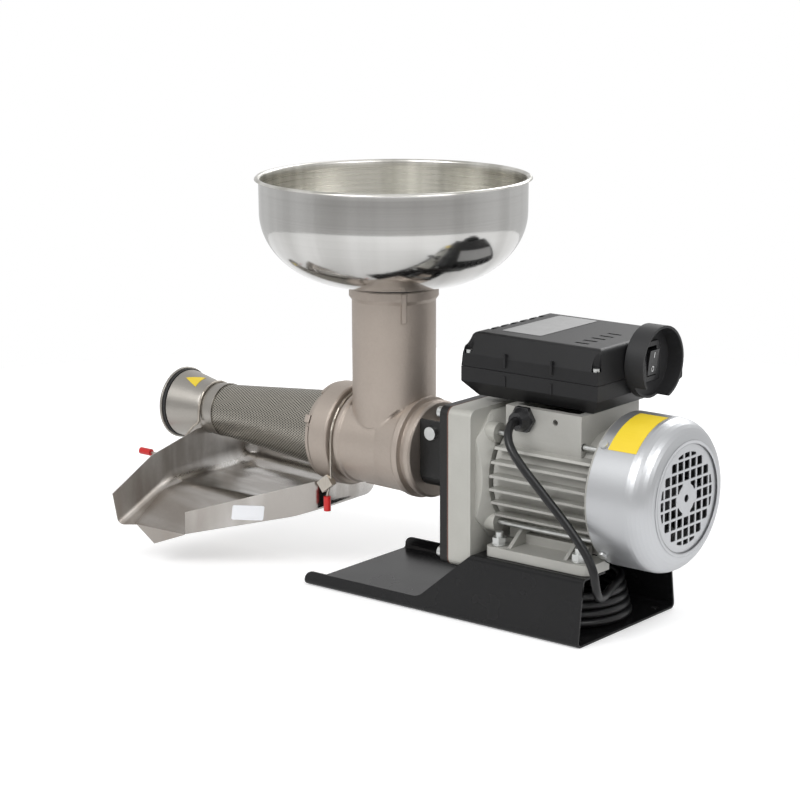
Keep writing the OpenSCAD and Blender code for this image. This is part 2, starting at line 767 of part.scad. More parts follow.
module fan_grille() {
    color([0.74, 0.75, 0.77]) difference() {
        rod_x(grille_x1 - cover_t, grille_x1, recess_r - 4, 0, motor_z);
        intersection() {
            tube_x(grille_x1 - cover_t - 1, grille_x1 + 1, grille_r, hub_disc_r, 0, motor_z);
            for (i = [-4 : 4], j = [-4 : 4]) if (in_grille(i, j))
                translate([grille_x1, i * grille_pitch, motor_z + j * grille_pitch])
                    cube([9, grille_hole, grille_hole], center = true);
        }
        rod_x(grille_x1 - 9, grille_x1 + 1, 3.5, 0, motor_z);
    }
}

cover_screw_turns = [45, 135, 225, 315];

module fan_cover_screws() {
    color([0.78, 0.8, 0.78]) for (a = cover_screw_turns) translate([0, 0, motor_z]) rotate([a, 0, 0])
        rod_z(cover_r + 0.2, cover_r + 3, 4.2, cover_front + 5, 0);
}

// Strainer body: throat, barrel and flanges are one casting
rear_wall = 10;
seal_r = 20;
neck_r = 44.5;
neck_x = ring_x0 + ring_len;
neck_len = 6;

barrel_outline = [
    [0, ring_x0], [ring_r - 1.5, ring_x0], [ring_r, ring_x0 + 1.5], [ring_r, neck_x - 1.5],
    [ring_r - 1.5, neck_x], [neck_r, neck_x], [neck_r, neck_x + neck_len],
    [neck_r + 2.5, neck_x + neck_len + 1], [neck_r + 2.5, neck_x + neck_len + 5],
    [neck_r + 0.8, neck_x + neck_len + 7], [flange_r - 4.5, 10], [flange_r - 1, flange_x - 8],
    [flange_r, flange_x - 6], [flange_r, flange_x], [flange_r - 5, flange_x + 1],
    [flange_r - 5, flange_x + 6], [flange_r - 2, flange_x + 7], [flange_r - 2, flange2_x - 2],
    [flange_r - 4, flange2_x], [tail_r, flange2_x], [tail_r, cradle_bolt_x - 6],
    [tail_r - 8.5, cradle_bolt_x - 6], [tail_r - 8.5, cradle_bolt_x + 6],
    [tail_r, cradle_bolt_x + 6], [tail_r, tail_end], [0, tail_end]];
throat_in = throat_r - cast_t;

module strainer_body() {
    color([0.62, 0.58, 0.54]) difference() {
        union() {
            lathe_x(out_z) polygon(barrel_outline);
            along_y(-2.5, 2.5) polygon([[neck_x + 12, out_z - 40], [flange_x - 4, out_z - 40],
                [flange_x - 4, out_z - flange_r + 0.5], [neck_x + 12, out_z - flange_r + 2]]);
        }
        rod_x(ring_x0 - 1, ring_x0 + 12, 46, 0, out_z);
        rod_x(ring_x0, flange_x - 4, barrel_r, 0, out_z);
        rod_z(out_z, throat_top, throat_in);
        rod_x(flange_x - 5, flange2_x + 1, shank_r + fit, 0, out_z);
        rod_x(flange_x + 4, tail_end + 1, seal_r - 2 + fit, 0, out_z);
        rod_x(flange2_x, tail_end + 1, 18.2, 0, out_z);
    }
}

// The throat stands on the barrel. Its collar and rib are cast on.
collar_h = 13;

module strainer_throat() {
    color([0.62, 0.58, 0.54]) difference() {
        union() {
            rod_z(out_z, throat_top, throat_r);
            translate([0, 0, throat_top]) rotate_extrude() polygon([
                [throat_r - 3, -collar_h], [throat_r, -collar_h], [throat_r + 2.8, 4 - collar_h],
                [throat_r + 2.8, -1], [throat_r + 1.8, 0], [throat_r - 3, 0]]);
            rotate([0, 0, -38])
                block([throat_r - 2, -2.4, throat_top - 30], [throat_r + 3.4, 2.4, throat_top - 1]);
        }
        lathe_x(out_z) polygon([for (p = barrel_outline) [p[0] + (p[0] > 0 ? 0.1 : 0), p[1]]]);
        rod_z(out_z, throat_top + 1, throat_in);
    }
}

module body_seal() {
    color([0.55, 0.12, 0.1]) tube_x(flange_x + 4.2, flange_x + 9, seal_r - 2, shank_r + fit, 0, out_z);
}

// Auger: a core with a helical flight that narrows with the filter
auger_x1 = flange_x - 5;
auger_x0 = cone_x0 + 6;
cone_slope = (cone_r1 - cone_r0) / (cone_x1 - cone_x0);
function cone_at(x) = cone_r0 + (x - cone_x0) * cone_slope;
function flight_at(x) = min(barrel_r, cone_at(x) - cone_t) - auger_gap;
function core_at(x) =
    x > ring_x0 ? core_r : tip_r + (core_r - tip_r) * (x - auger_x0) / (ring_x0 - auger_x0);
flight_x1 = auger_x1 - 4;
flight_x0 = auger_x0 + 4;
flight_steps = 20;
flight_n = floor((flight_x1 - flight_x0) / auger_pitch * flight_steps);
function flight_ring(i) =
    let (a = i * 360 / flight_steps, x = flight_x0 + i * auger_pitch / flight_steps,
         r0 = core_at(x) - 2, r1 = flight_at(x), h = flight_t / 2)
    [[x + h * 1.6, r0 * sin(a), out_z + r0 * cos(a)], [x + h, r1 * sin(a), out_z + r1 * cos(a)],
     [x - h, r1 * sin(a), out_z + r1 * cos(a)], [x - h * 1.6, r0 * sin(a), out_z + r0 * cos(a)]];
function skin(n, m) = concat(
    [[for (j = [m - 1 : -1 : 0]) j]],
    [for (i = [0 : n - 2], j = [0 : m - 1])
        let (a = i * m + j, b = i * m + (j + 1) % m, c = a + m, d = b + m) each [[a, b, d], [a, d, c]]],
    [[for (j = [0 : m - 1]) (n - 1) * m + j]]);

module auger() {
    color([0.86, 0.85, 0.8]) difference() {
        union() {
            lathe_x(out_z) polygon([
                [0, auger_x0 - 4], [4, auger_x0 - 4], [tip_r, auger_x0], [core_r, ring_x0],
                [core_r, auger_x1 - 2], [22, auger_x1], [22, auger_x1 + 0.6], [shank_r, auger_x1 + 0.6],
                [shank_r, socket_x0], [16, socket_x0 + 1], [16, socket_x1], [0, socket_x1]]);
            polyhedron([for (i = [0 : flight_n], p = flight_ring(i)) p], skin(flight_n + 1, 4));
        }
        block([square_x0 - 1, -square_w / 2 - 0.2, out_z - square_w / 2 - 0.2],
              [socket_x1 + 1, square_w / 2 + 0.2, out_z + square_w / 2 + 0.2]);
    }
}

// Hopper: a spun bowl whose spigot stands in the throat
spigot_r = throat_in - seat;
bowl_neck_z = throat_top + mouth_gasket_t + seat;
function bowl_curve(r) =
    let (u = (r - throat_r) / (bowl_r - throat_r))
    bowl_neck_z + (bowl_bend_z - bowl_neck_z) * (1 - sqrt(max(0, 1 - u * u)));
bowl_radii = [for (a = [0 : 9 : 90]) throat_r + (bowl_r - throat_r) * sin(a)];
bowl_out = concat(
    [[spigot_r, throat_top - spigot_h], [spigot_r, bowl_neck_z]],
    [for (r = bowl_radii) [r, bowl_curve(r)]], [[bowl_r + 0.6, bowl_top - 6]]);
rim_roll = [for (a = [200 : -35 : -10]) at_turn([bowl_rim_r - 2.6, bowl_top - 2.6], 2.6, a)];

module hopper_gasket() {
    color([0.06, 0.06, 0.06]) difference() {
        rod_z(throat_top, throat_top + mouth_gasket_t, throat_r + 1.8);
        rod_z(throat_top - 1, throat_top + mouth_gasket_t + 1, spigot_r + seat);
    }
}

module hopper_bowl() {
    color([0.8, 0.8, 0.8]) rotate_extrude() polygon(concat(
        bowl_out, reverse(rim_roll), reverse([for (p = beside(bowl_out, bowl_t)) p])));
}

// Filter cone with its flange, and the cup that the skins and seeds leave by
module filter_cone() {
    color([0.66, 0.65, 0.6]) lathe_x(out_z) polygon([
        [cone_r0, cone_x0], [cone_r1, cone_x1], [cone_r1 - cone_t, cone_x1], [cone_r0 - cone_t, cone_x0]]);
}

// Three lobes and three small lugs turn it fast in the ring, as on a bayonet
lobe_turns = [112, 232, 352];
lug_turns = [66, 186, 306];
lobe_half = 37;

module filter_flange() {
    color([0.74, 0.72, 0.68]) union() {
        lathe_x(out_z) polygon([
            [cone_r1 + 0.1, cone_x1 - 3], [cone_r1 + 1.1, cone_x1 - 3], [cone_r1 + 2.2, cone_x1],
            [cone_r1 + 5.5, ring_x0 - 5.5], [cone_r1 + 6.9, ring_x0 - 5],
            [cone_r1 + 6.9, ring_x0 - seat], [45.7, ring_x0 - seat], [45.7, ring_x0 + 11],
            [44.5, ring_x0 + 11], [44.5, ring_x0 - 2], [cone_r1 + 0.1, cone_x1 + 0.5]]);
        for (a = lobe_turns) intersection() {
            tube_x(ring_x0 - 4.4, ring_x0 - 0.8, ring_r - 1.5, 45.2, 0, out_z);
            translate([0, 0, out_z]) rotate([a, 0, 0]) along_x(ring_x0 - 6, ring_x0) polygon([
                [0, 0], [70 * sin(lobe_half), 70 * cos(lobe_half)], [0, 70],
                [-70 * sin(lobe_half), 70 * cos(lobe_half)]]);
        }
        for (a = lug_turns) translate([0, 0, out_z]) rotate([a, 0, 0])
            block([ring_x0 - 7, -4, 45.4], [ring_x0 - 1.1, 4, ring_r - 0.9]);
    }
}

cup_neck_r = cone_r0 - cone_t - seat;

module waste_cup() {
    color([0.78, 0.78, 0.78]) lathe_x(out_z) polygon([
        [cone_at(cone_x0 + 9) + 0.1, cone_x0 + 9], [cone_r0 + 2.2, cone_x0 + 9],
        [cone_r0 + 1.4, cone_x0 - 1],
        [cone_r0 + 0.4, cone_x0 - 8], [cone_r0 + 1.5, cone_x0 - 12], [cup_r, cup_x0 + 7],
        [cup_r - 1, cup_x0 + 6.5], [cup_r - 1, cup_x0 + 3], [cup_r + 2, cup_x0 + 3],
        [cup_r + 2.6, cup_x0 + 2.4], [cup_r + 2.6, cup_x0 + 0.6], [cup_r + 2, cup_x0], [cup_r - 2, cup_x0],
        [cup_r - 2, cup_x0 + 7], [cone_r0 + 0.3, cone_x0 - 12], [cone_r0 - 0.8, cone_x0 - 8],
        [cone_r0 - 0.8, cone_x0 - seat], [cone_r0 + 0.1, cone_x0 - seat]]);
}

module cup_ring() {
    color([0.06, 0.06, 0.06]) lathe_x(out_z) polygon([
        [cup_r - 0.8, cup_x0 + 3.2], [cup_r + 0.9, cup_x0 + 3.2], [cup_r + 0.9, cup_x0 + 6.2],
        [cup_r - 0.8, cup_x0 + 6.2]]);
}

// Drip tray: flat panels of sheet, folded into a trough that pours at the near front corner
function three_planes(p, a, b, c) =
    let (n = cross(b - a, c - a)) a[2] - (n[0] * (p[0] - a[0]) + n[1] * (p[1] - a[1])) / n[2];
drip_rise = 8;
chute_low = [-177, -117, 36.5];
floor_a = [drip_x1, -drip_near, drip_z];
floor_b = [drip_x0, -78, drip_z + drip_rise];
function chute(x, y) = [x, y, three_planes([x, y], floor_a, floor_b, chute_low)];
floor_c = [drip_x1, drip_far, drip_z + 1];
function main_floor(x, y) = [x, y, three_planes([x, y], floor_a, floor_b, floor_c)];
drip_lip = chute(-236, -127);
drip_corner = chute(drip_x0 - 12, -134);
flap_low = [-215, -123, 22];
function end_bend(y, z) = [drip_x0 + (y + 78) * 12 / 56, y, z];

// A flat panel of sheet, given by the outline of its middle plane
module panel(pts, t) {
    m = len(pts);
    n = unit_of(cross(pts[1] - pts[0], pts[2] - pts[0])) * t / 2;
    polyhedron(concat([for (p = pts) p - n], [for (p = pts) p + n]), concat(
        [[for (i = [0 : m - 1]) i]], [[for (i = [m - 1 : -1 : 0]) m + i]],
        [for (i = [0 : m - 1]) [i, m + i, m + (i + 1) % m, (i + 1) % m]]));
}

module drip_floors() {
    panel([floor_a, floor_b, main_floor(drip_x0, drip_far), floor_c], drip_t);
    panel([floor_a, chute_low, drip_lip, drip_corner, floor_b], drip_t);
}

module drip_walls() {
    near_top = [chute_low[0], chute_low[1], 60];
    far_end = main_floor(drip_x0, drip_far);
    panel([floor_a, [drip_x1, -drip_near, drip_top], near_top, chute_low], drip_t);
    panel([floor_c, far_end, [drip_x0, drip_far, 90], [drip_x1, drip_far, drip_top]], drip_t);
    panel([floor_b, drip_corner, end_bend(-140, 71), end_bend(-92, 104), end_bend(-78, 108.5)], drip_t);
    panel([drip_lip, chute_low + [-6, -1.2, 0.6], flap_low], drip_t);
}

module drip_ends() {
    difference() {
        block([drip_x1 - drip_t / 2, -drip_near, drip_z - 0.5], [drip_x1 + drip_t / 2, drip_far, drip_top]);
        rod_x(drip_x1 - 5, drip_x1 + 5, ring_r + seat, 0, out_z);
    }
    difference() {
        along_x(drip_x0 - drip_t / 2, drip_x0 + drip_t / 2) polygon([[-78, floor_b[2]], [drip_far, floor_b[2] + 1.3],
            [drip_far, 92], [27, 120], [-27, 120], [-78, 108.5]]);
        rod_x(drip_x0 - 5, drip_x0 + 5, cone_r0 + 1.2 + seat, 0, out_z);
    }
}

module drip_tray() {
    color([0.74, 0.73, 0.7]) union() {
        drip_floors();
        drip_walls();
        drip_ends();
    }
}

// Wire clips that hold the drip tray up, and the red caps on their tails
wire_r = 1.25;

// The way of a wire hoop over the top of a round neck, from its far end to its near end
function hoop(x, r, leg_z) = concat(
    [[x, r, leg_z]], [for (a = [0 : 15 : 180]) [x, r * cos(a), out_z + r * sin(a)]], [[x, -r, leg_z]]);

clip_r = neck_r + wire_r + 0.4;
clip_x = neck_x + 3;
clip_y = -clip_r;
clip_z = drip_top + 1;
clip_tip_x = clip_x - 5;
clip_tip_z = clip_z - 15;
end_clip_x = cone_x0 - 8;
end_clip_r = cone_r0 + 0.4 + wire_r + 0.3;
end_tail = [[-2, -end_clip_r, -12], [-6, -30, -15], [-12, -35, -25], [-20, -41, -37],
            [-30, -44.5, -45], [-42, -45, -48], [-54, -45, -48]];
end_tip = end_tail[len(end_tail) - 1];
tail_cap_len = 15;

module front_clip() {
    color([0.7, 0.68, 0.64]) {
        hose(concat([[clip_x, clip_r, clip_tip_z]], hoop(clip_x, clip_r, clip_z + 2),
            [[clip_tip_x, clip_y, clip_tip_z]]), wire_r, 8);
        translate([clip_x - 5.2, clip_y - 0.5, clip_z - 1.5]) rotate([0, -38, 0])
            block([-8, -3.5, -6], [8, 3.5, 6]);
    }
}

module end_clip() {
    color([0.7, 0.68, 0.64]) hose(concat(
        hoop(end_clip_x, end_clip_r, out_z - 9), [for (p = end_tail) [end_clip_x, 0, out_z] + p]),
        wire_r, 8);
}

module clip_caps() {
    color([0.75, 0.06, 0.06]) {
        rod_z(clip_tip_z - tail_cap_len, clip_tip_z - 0.5, 3.6, clip_tip_x, clip_y);
        rod_x(end_clip_x + end_tip[0] - tail_cap_len, end_clip_x + end_tip[0], 3.6,
              end_tip[1], out_z + end_tip[2]);
    }
}

// Switch box: two moulded shells with chamfered edges
seam_z = pad_z + seam_h;
sbox_top = pad_z + sbox_h;
sbox_x1 = sbox_x0 + sbox_len;
function lower_yz(d) = [
    [-sbox_near + d, seam_z + 1], [-sbox_near + d, pad_z + 15], [-sbox_near + 12 + d / 2, pad_z + d + seat],
    [sbox_far - 12 - d / 2, pad_z + d + seat], [sbox_far - d, pad_z + 15], [sbox_far - d, seam_z + 1]];
function lower_xz(d) = [
    [sbox_x0 + d, seam_z + 1], [sbox_x0 + d, pad_z + 14], [sbox_x0 + 12 + d / 2, pad_z + d + seat],
    [sbox_x1 - 12 - d / 2, pad_z + d + seat], [sbox_x1 - d, pad_z + 14], [sbox_x1 - d, seam_z + 1]];
function upper_yz(d) = rounded(
    [[-sbox_near + d, seam_z - 1], [sbox_far - d, seam_z - 1], [sbox_far - 1.5 - d, seam_z + 12],
     [sbox_far - 11 - d, sbox_top - d], [-sbox_near + 11 + d, sbox_top - d],
     [-sbox_near + 1.5 + d, seam_z + 12]], [0, 0, 4, 5, 5, 4]);
function upper_xz(d) = rounded(
    [[sbox_x0 + d, seam_z - 1], [sbox_x1 - d, seam_z - 1], [sbox_x1 - 3 - d, sbox_top - d],
     [sbox_x0 + 8 + d, sbox_top - d], [sbox_x0 + 1 + d, seam_z + 18]], [0, 0, 5, 6, 3]);

module shell_of(yz, xz) {
    intersection() {
        along_x(sbox_x0 - 5, sbox_x1 + 5) polygon(yz);
        along_y(-sbox_near - 5, sbox_far + 5) polygon(xz);
    }
}

box_screws_at = [for (x = [sbox_x0 + 6, sbox_x1 - 5], y = [-sbox_near + 5, sbox_far - 5]) [x, y]];
rib_x = [sbox_x0 + 50.7, sbox_x0 + 103.3];
screw_up = 12;

module switch_box_base() {
    color([0.1, 0.1, 0.105]) difference() {
        union() {
            difference() {
                shell_of(lower_yz(0), lower_xz(0));
                block([sbox_x0 - 9, -sbox_near - 9, seam_z - 0.2], [sbox_x1 + 9, sbox_far + 9, sbox_top]);
            }
            for (x = rib_x) block([x - 1.2, -sbox_near - 1, seam_z - 14], [x + 1.2, -sbox_near + 1, seam_z - 4]);
        }
        intersection() {
            shell_of(lower_yz(plastic_t), lower_xz(plastic_t));
            block([sbox_x0, -sbox_near, pad_z], [sbox_x1, sbox_far, seam_z + 2]);
        }
        block([pad_x0 + 12, -pad_half + 16, pad_z - 1], [pad_x1 - 12, pad_half - 16, pad_z + 9]);
        switch_pocket();
    }
}

module switch_box_lid() {
    color([0.1, 0.1, 0.105]) difference() {
        union() {
            difference() {
                shell_of(upper_yz(0), upper_xz(0));
                block([sbox_x0 - 9, -sbox_near - 9, pad_z], [sbox_x1 + 9, sbox_far + 9, seam_z + 0.2]);
            }
            for (x = rib_x) block([x - 1.2, -sbox_near - 1, seam_z + 4], [x + 1.2, -sbox_near + 2, seam_z + 17]);
        }
        difference() {
            shell_of(upper_yz(plastic_t), upper_xz(plastic_t));
            for (p = box_screws_at) rod_z(seam_z - 5, sbox_top, 6, p[0], p[1]);
        }
        for (p = box_screws_at) {
            rod_z(seam_z + screw_up, sbox_top + 1, 4.4, p[0], p[1]);
            rod_z(seam_z - 1, sbox_top, 1.9, p[0], p[1]);
        }
        for (i = [0 : 5])
            block([sbox_x0 + 3, -14 + i * 15.3, sbox_top - 8], [sbox_x0 + 16, -6 + i * 15.3, sbox_top + 1]);
        for (i = [0 : 4])
            block([sbox_x1 - 42, -19 + i * 13.2, sbox_top - 5], [sbox_x1 - 27, -15.5 + i * 13.2, sbox_top + 1]);
        switch_pocket();
    }
}

module box_screws() {
    color([0.78, 0.79, 0.8]) for (p = box_screws_at) {
        rod_z(seam_z + screw_up + 0.2, seam_z + screw_up + 3.4, 3.1, p[0], p[1]);
        rod_z(seam_z + 0.5, seam_z + screw_up + 0.5, 1.7, p[0], p[1]);
    }
}

can_x = sbox_x0 + 18;
can_len = 80;
can_r = 17.5;

module run_capacitor() {
    color([0.85, 0.85, 0.83])
        rod_x(can_x, can_x + can_len, can_r, sbox_far - 28, pad_z + plastic_t + can_r + 0.9);
}

module terminal_block() {
    color([0.9, 0.88, 0.8]) block([sbox_x0 + 62, 14, pad_z + plastic_t + 0.6],
                                  [sbox_x0 + 112, 34, pad_z + plastic_t + 17]);
}

// Rocker switch inside a round guard that is open below
rocker_z = motor_z + rocker_h;
hood_x0 = sbox_x1 + 0.2;
hood_floor = hood_x0 + 4;
hood_t = 2.4;
frame_w = 27;
frame_h = 37;
body_w = 20;
body_h = 28;
frame_front = hood_floor + 3.2;
pocket_gap = 0.3;

module switch_pocket() {
    block([sbox_x1 - 12, rocker_y - body_w / 2 - pocket_gap, rocker_z - body_h / 2 - pocket_gap],
          [hood_floor + 1, rocker_y + body_w / 2 + pocket_gap, rocker_z + body_h / 2 + pocket_gap]);
}

module switch_hood() {
    color([0.1, 0.1, 0.105]) difference() {
        rod_x(hood_x0, hood_x0 + hood_len, hood_r, rocker_y, rocker_z);
        rod_x(hood_floor, hood_x0 + hood_len + 1, hood_r - hood_t, rocker_y, rocker_z);
        along_x(hood_floor + 3, hood_x0 + hood_len + 1) polygon([
            [rocker_y, rocker_z], [rocker_y - 40, rocker_z - 30], [rocker_y - 30, rocker_z - 60],
            [rocker_y + 16, rocker_z - 50]]);
        switch_pocket();
    }
}

rocker_w = 15;
rocker_len = 27;
rocker_drop = 2;
rocker_x = hood_floor - 1;

module switch_frame() {
    color([0.05, 0.05, 0.055]) difference() {
        union() {
            along_x(hood_floor + 0.2, frame_front) polygon([for (p = rounded(
                [[-frame_w / 2, -frame_h / 2], [frame_w / 2, -frame_h / 2], [frame_w / 2, frame_h / 2],
                 [-frame_w / 2, frame_h / 2]], [2, 2, 2, 2])) p + [rocker_y, rocker_z]]);
            block([sbox_x1 - 11, rocker_y - body_w / 2, rocker_z - body_h / 2],
                  [hood_floor + 1, rocker_y + body_w / 2, rocker_z + body_h / 2]);
        }
        block([rocker_x - 6, rocker_y - rocker_w / 2 - 0.4, rocker_z - rocker_len / 2 - 0.4],
              [frame_front + 1, rocker_y + rocker_w / 2 + 0.4, rocker_z + rocker_len / 2 + 0.4]);
    }
}

// The rocker's face is a shallow V, pressed in at its lower end when it is off
module rocker() {
    color([0.06, 0.06, 0.065]) union() {
        along_y(rocker_y - rocker_w / 2, rocker_y + rocker_w / 2) polygon([
            [rocker_x - 2, rocker_z - rocker_len / 2 + 1.6], [rocker_x - 2, rocker_z + rocker_len / 2 - 3.4],
            [frame_front + 3.8, rocker_z + rocker_len / 2 - 2.4], [frame_front + 1.8, rocker_z],
            [frame_front + 0.4, rocker_z - rocker_len / 2 + 0.6]]);
        rod_y(rocker_y - rocker_w / 2 - 0.2, rocker_y + rocker_w / 2 + 0.2, 1.5, rocker_x, rocker_z);
    }
}

// Cable gland in the pad's near face
gland_y = -pad_half;
gland_end = gland_y - 14;

module cable_gland() {
    color([0.05, 0.05, 0.05]) difference() {
        union() {
            rod_y(gland_y - 1, gland_y + 13, 8, gland_x, gland_z);
            hex_y(gland_y - 5, gland_y - 0.2, 23, gland_x, gland_z);
            translate([gland_x, gland_y - 5 + e, gland_z]) rotate([90, 0, 0])
                cylinder(r1 = 11, r2 = 8, h = 9);
        }
        rod_y(gland_end - 1, gland_y + 14, cord_d / 2 + 0.1, gland_x, gland_z);
    }
}

module gland_nut() {
    color([0.05, 0.05, 0.05]) difference() {
        hex_y(gland_y + 8.3, gland_y + 12.5, 20, gland_x, gland_z);
        rod_y(gland_y + 7, gland_y + 14, 8 + fit, gland_x, gland_z);
    }
}

// Power cord. Route points are chosen by hand, from the gland to the coil's top turn.
coil_c = [206, 0];
cord_r = cord_d / 2;
lead_route = [
    [192, -48, 196.5], [192, -60, 196.5], [193, -68, 195.5], [196, -77, 190.5], [201, -83, 182.5],
    [209, -86, 173], [220, -86, 161], [233, -84, 147], [246, -82, 133], [258, -80, 120],
    [268, -78, 108], [277, -76, 96], [284, -74, 84], [289, -73, 72], [290, -71, 60],
    [288, -65, 50], [284, -55, 43.5], [280, -43, 40.8], [274, -28, 39.8], [267, -12, 39.3],
    [261, 5, 39.1], [254.9, 21.2, 39]
];
tail_route = [
    [194, coil_r, 6], [186, 60.8, 6.4], [177, 60, 7.7], [167, 58.8, 9.4], [157, 58, 10.4],
    [146, 58, 10.6]];

function dirs(p) = [for (i = [0 : len(p) - 1]) unit_of(p[min(i + 1, len(p) - 1)] - p[max(i - 1, 0)])];
function ring_at(p, d, r, m) =
    let (s = unit_of(cross(d, [1, 1, 1])), u = cross(s, d))
    [for (j = [0 : m - 1]) p + r * (cos(j * 360 / m) * s + sin(j * 360 / m) * u)];

module hose(route, r, m) {
    d = dirs(route);
    polyhedron([for (i = [0 : len(route) - 1], q = ring_at(route[i], d[i], r, m)) q],
               skin(len(route), m));
}

module cord_lead() {
    color([0.05, 0.05, 0.05]) hose(lead_route, cord_r, 10);
}

module cord_coil() {
    top = coil_turns * cord_d * 1.03;
    color([0.05, 0.05, 0.05]) translate([coil_c[0], coil_c[1], base_t]) rotate_extrude() polygon([
        [coil_r - cord_r - coil_step * (coil_turns - 1), 0], [coil_r + cord_r, 0],
        [coil_r + cord_r - coil_step * (coil_turns - 1), top],
        [coil_r - cord_r - coil_step * (coil_turns - 1), top]]);
}

module cord_tail() {
    color([0.05, 0.05, 0.05]) hose(tail_route, cord_r, 10);
}

// Plug with three pins in line, lying on the tray's floor
plug_x1 = 156;
plug_len = 40;
plug_y = 58;
plug_z = base_t + 8.6;

module mains_plug() {
    color([0.05, 0.05, 0.05]) difference() {
        union() {
            translate([plug_x1 - 16, plug_y, plug_z]) rotate([0, 90, 0]) cylinder(r1 = 8, r2 = 5.4, h = 16);
            translate([0, 0, plug_z - 8.4]) linear_extrude(16.8) polygon(rounded(
                [[plug_x1 - plug_len - 14, plug_y - 17], [plug_x1 - 30, plug_y - 17], [plug_x1 - 14, plug_y - 8],
                 [plug_x1 - 14, plug_y + 8], [plug_x1 - 30, plug_y + 17],
                 [plug_x1 - plug_len - 14, plug_y + 17]], [3, 8, 3, 3, 8, 3]));
        }
        rod_x(plug_x1 - 12, plug_x1 + 1, cord_r + 0.1, plug_y, plug_z);
    }
}

module plug_pins() {
    color([0.8, 0.78, 0.7]) for (i = [-1 : 1])
        rod_x(plug_x1 - plug_len - 33, plug_x1 - plug_len - 14.1, 2, plug_y + i * 9.5, plug_z);
}

base_tray();
gear_cover();
cover_gasket();
gear_housing();
gearbox_bolts();
cradle();
cradle_bolt();
motor_pinion();
rotor_shaft();
rotor_core();
motor_bearings();
layshaft();
fast_wheel();
slow_pinion();
layshaft_bearings();
output_wheel();
output_shaft();
output_bearings();
shaft_seal();
stator_frame();
stator_core();
stator_winding();
motor_feet();
foot_bolts();
rear_shield();
tie_rods();
cooling_fan();
fan_cover();
fan_grille();
fan_cover_screws();
strainer_body();
strainer_throat();
body_seal();
auger();
hopper_gasket();
hopper_bowl();
filter_cone();
filter_flange();
waste_cup();
cup_ring();
drip_tray();
front_clip();
end_clip();
clip_caps();
switch_box_base();
switch_box_lid();
box_screws();
run_capacitor();
terminal_block();
switch_hood();
switch_frame();
rocker();
cable_gland();
gland_nut();
cord_lead();
cord_coil();
cord_tail();
mains_plug();
plug_pins();
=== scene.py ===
import math

import bmesh
import bpy
from mathutils import Matrix, Vector


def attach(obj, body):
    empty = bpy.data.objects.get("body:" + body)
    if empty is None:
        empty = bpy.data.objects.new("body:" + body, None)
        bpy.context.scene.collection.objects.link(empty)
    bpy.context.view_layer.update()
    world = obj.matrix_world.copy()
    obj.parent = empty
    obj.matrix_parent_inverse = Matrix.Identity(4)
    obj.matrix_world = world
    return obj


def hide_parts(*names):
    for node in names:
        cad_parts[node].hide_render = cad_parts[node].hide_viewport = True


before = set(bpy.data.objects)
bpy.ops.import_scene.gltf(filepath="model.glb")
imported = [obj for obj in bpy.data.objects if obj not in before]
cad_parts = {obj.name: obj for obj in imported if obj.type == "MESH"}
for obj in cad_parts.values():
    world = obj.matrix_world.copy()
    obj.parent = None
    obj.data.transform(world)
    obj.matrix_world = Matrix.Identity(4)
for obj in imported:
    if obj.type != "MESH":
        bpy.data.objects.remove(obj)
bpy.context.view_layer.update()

# Studio: a long lens a little above the bowl, a soft lamp above on each side of it and one
# behind the machine. The backdrop is white to the lens. Metal reflects a pale room, with a
# darker band at the height of the eye behind the lens.
camera = bpy.data.cameras.new("studio_camera")
camera.lens = 108.8
camera.sensor_width = 36
camera.shift_x = 0.01295
camera.shift_y = 0.0017
camera.clip_end = 30
tripod = bpy.data.objects.new("studio_camera", camera)
tripod.matrix_world = Matrix((
    (0.77627, -0.13495, 0.61579, 1.4653),
    (0.63039, 0.17358, -0.75663, -1.8078),
    (-0.00478, 0.97553, 0.21981, 0.7023),
    (0, 0, 0, 1)))
bpy.context.scene.collection.objects.link(tripod)
bpy.context.scene.camera = tripod
bpy.context.scene.view_settings.view_transform = "Standard"

for name, at, aim, size, watts in (
        ("softbox_left", (-0.1, -2.5, 2.2), (0, 0, 0.2), 1.5, 44),
        ("softbox_right", (2.2, -0.6, 1.8), (0.1, 0, 0.15), 1.2, 22),
        ("softbox_back", (-0.4, 2.3, 1.8), (0, 0, 0.2), 1.5, 26)):
    lamp = bpy.data.lights.new(name, "AREA")
    lamp.shape = "SQUARE"
    lamp.size = size
    lamp.energy = watts
    stand = bpy.data.objects.new(name, lamp)
    stand.location = at
    stand.rotation_euler = (Vector(aim) - Vector(at)).to_track_quat("-Z", "Y").to_euler()
    bpy.context.scene.collection.objects.link(stand)


